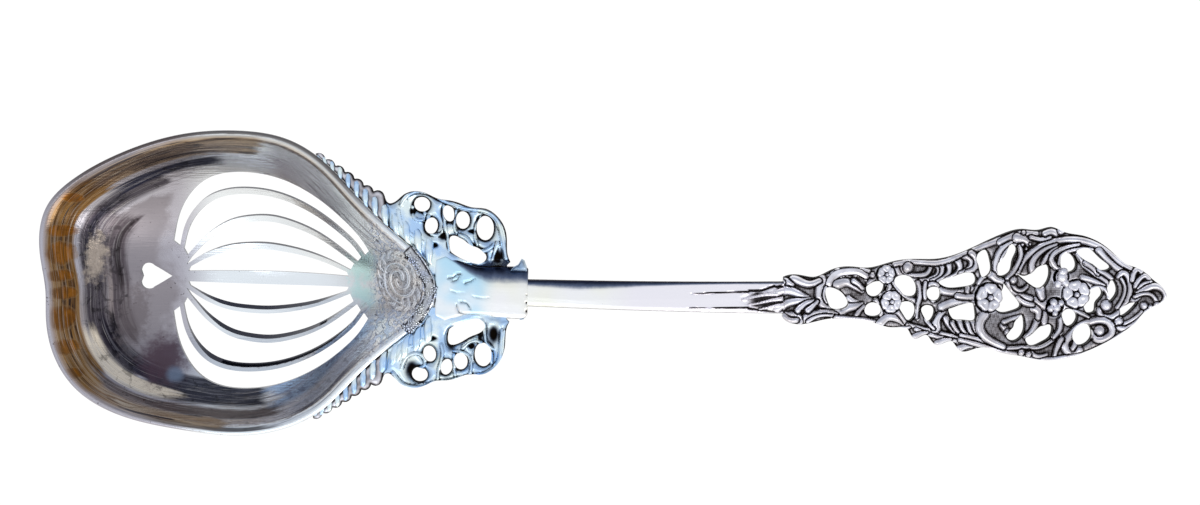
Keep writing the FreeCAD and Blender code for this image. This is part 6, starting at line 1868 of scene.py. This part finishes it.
def floor():
    half = 1.5
    mesh = bpy.data.meshes.new("table")
    mesh.from_pydata([(-half, -half, 0), (half, -half, 0), (half, half, 0), (-half, half, 0)], [], [(0, 1, 2, 3)])
    material = bpy.data.materials.new("Pale Table")
    material.use_nodes = True
    tree = material.node_tree
    shader = tree.nodes["Principled BSDF"]
    shader.inputs["Base Color"].default_value = (0.93, 0.93, 0.93, 1)
    shader.inputs["Roughness"].default_value = 0.9
    ray = tree.nodes.new("ShaderNodeLightPath").outputs
    seen = maths(tree, "ADD", ray["Is Camera Ray"], ray["Is Glossy Ray"], True)
    seen = maths(tree, "ADD", seen, ray["Is Transmission Ray"], True)
    white = add(tree, "ShaderNodeEmission", {"Color": (1, 1, 1, 1), "Strength": 1.08})
    both = tree.nodes.new("ShaderNodeMixShader")
    tree.links.new(maths(tree, "MULTIPLY", seen, PLAIN_WHITE_SHARE), both.inputs[0])
    tree.links.new(shader.outputs[0], both.inputs[1])
    tree.links.new(white.outputs[0], both.inputs[2])
    tree.links.new(both.outputs[0], tree.nodes["Material Output"].inputs["Surface"])
    mesh.materials.append(material)
    table = bpy.data.objects.new("table", mesh)
    bpy.context.scene.collection.objects.link(table)
    table.location.z = -0.0002


def softbox(name, place, aim, width, height, power, colour):
    data = bpy.data.lights.new(name, "AREA")
    data.shape = "RECTANGLE"
    data.size, data.size_y = width, height
    data.energy = power
    data.color = colour
    lamp = bpy.data.objects.new(name, data)
    lamp.location = place
    lamp.rotation_euler = (Vector(aim) - Vector(place)).to_track_quat("-Z", "Y").to_euler()
    bpy.context.scene.collection.objects.link(lamp)


def studio():
    softbox("window_light", (0.45, -0.65, 0.75), (0, 0, 0), 0.6, 0.5, 1.7, (1.0, 0.97, 0.93))
    softbox("heel_light", (-0.3, -0.45, 0.9), (-0.03, 0, 0), 0.3, 0.3, 0.4, (0.85, 0.92, 1.0))
    world = bpy.data.worlds.new("Soft Studio")
    world.use_nodes = True
    tree = world.node_tree
    facing = tree.nodes.new("ShaderNodeTexCoord").outputs["Generated"]
    parts = add(tree, "ShaderNodeSeparateXYZ", {"Vector": facing}).outputs
    shade = mixed(tree, smooth_range(tree, parts["Z"], 0.05, 0.8), (0.50, 0.48, 0.48, 1), (0.80, 0.82, 0.86, 1))
    sunny = smooth_range(tree, parts["Y"], -0.75, -0.25, 0.7, 0.0)
    shade = mixed(tree, sunny, shade, (1.02, 0.99, 0.95, 1))
    dim = maths(tree, "MULTIPLY", smooth_range(tree, parts["Y"], 0.22, 0.6), smooth_range(
        tree, parts["Z"], 0.80, 0.95, 1.0, 0.0))
    shade = mixed(tree, dim, shade, (0.50, 0.53, 0.60, 1))
    tree.links.new(shade, tree.nodes["Background"].inputs["Color"])
    tree.nodes["Background"].inputs["Strength"].default_value = 1.0
    bpy.context.scene.world = world


CAMERA_PLACE = Vector((-1.867, 50.655, 505.478)) * MM
CAMERA_AXES = (
    (0.9998, -0.0201, 0.0),
    (0.01999, 0.9960, 0.0872),
    (-0.00175, -0.0871, 0.9962),
)


def camera():
    data = bpy.data.cameras.new("camera")
    data.lens = 73.95
    data.sensor_width = 36.0
    data.clip_start = 0.01
    view = bpy.data.objects.new("camera", data)
    view.matrix_world = Matrix.Translation(CAMERA_PLACE) @ Matrix(CAMERA_AXES).to_4x4()
    bpy.context.scene.collection.objects.link(view)
    bpy.context.scene.camera = view


floor()
studio()
camera()
bpy.context.scene.view_settings.view_transform = "Standard"
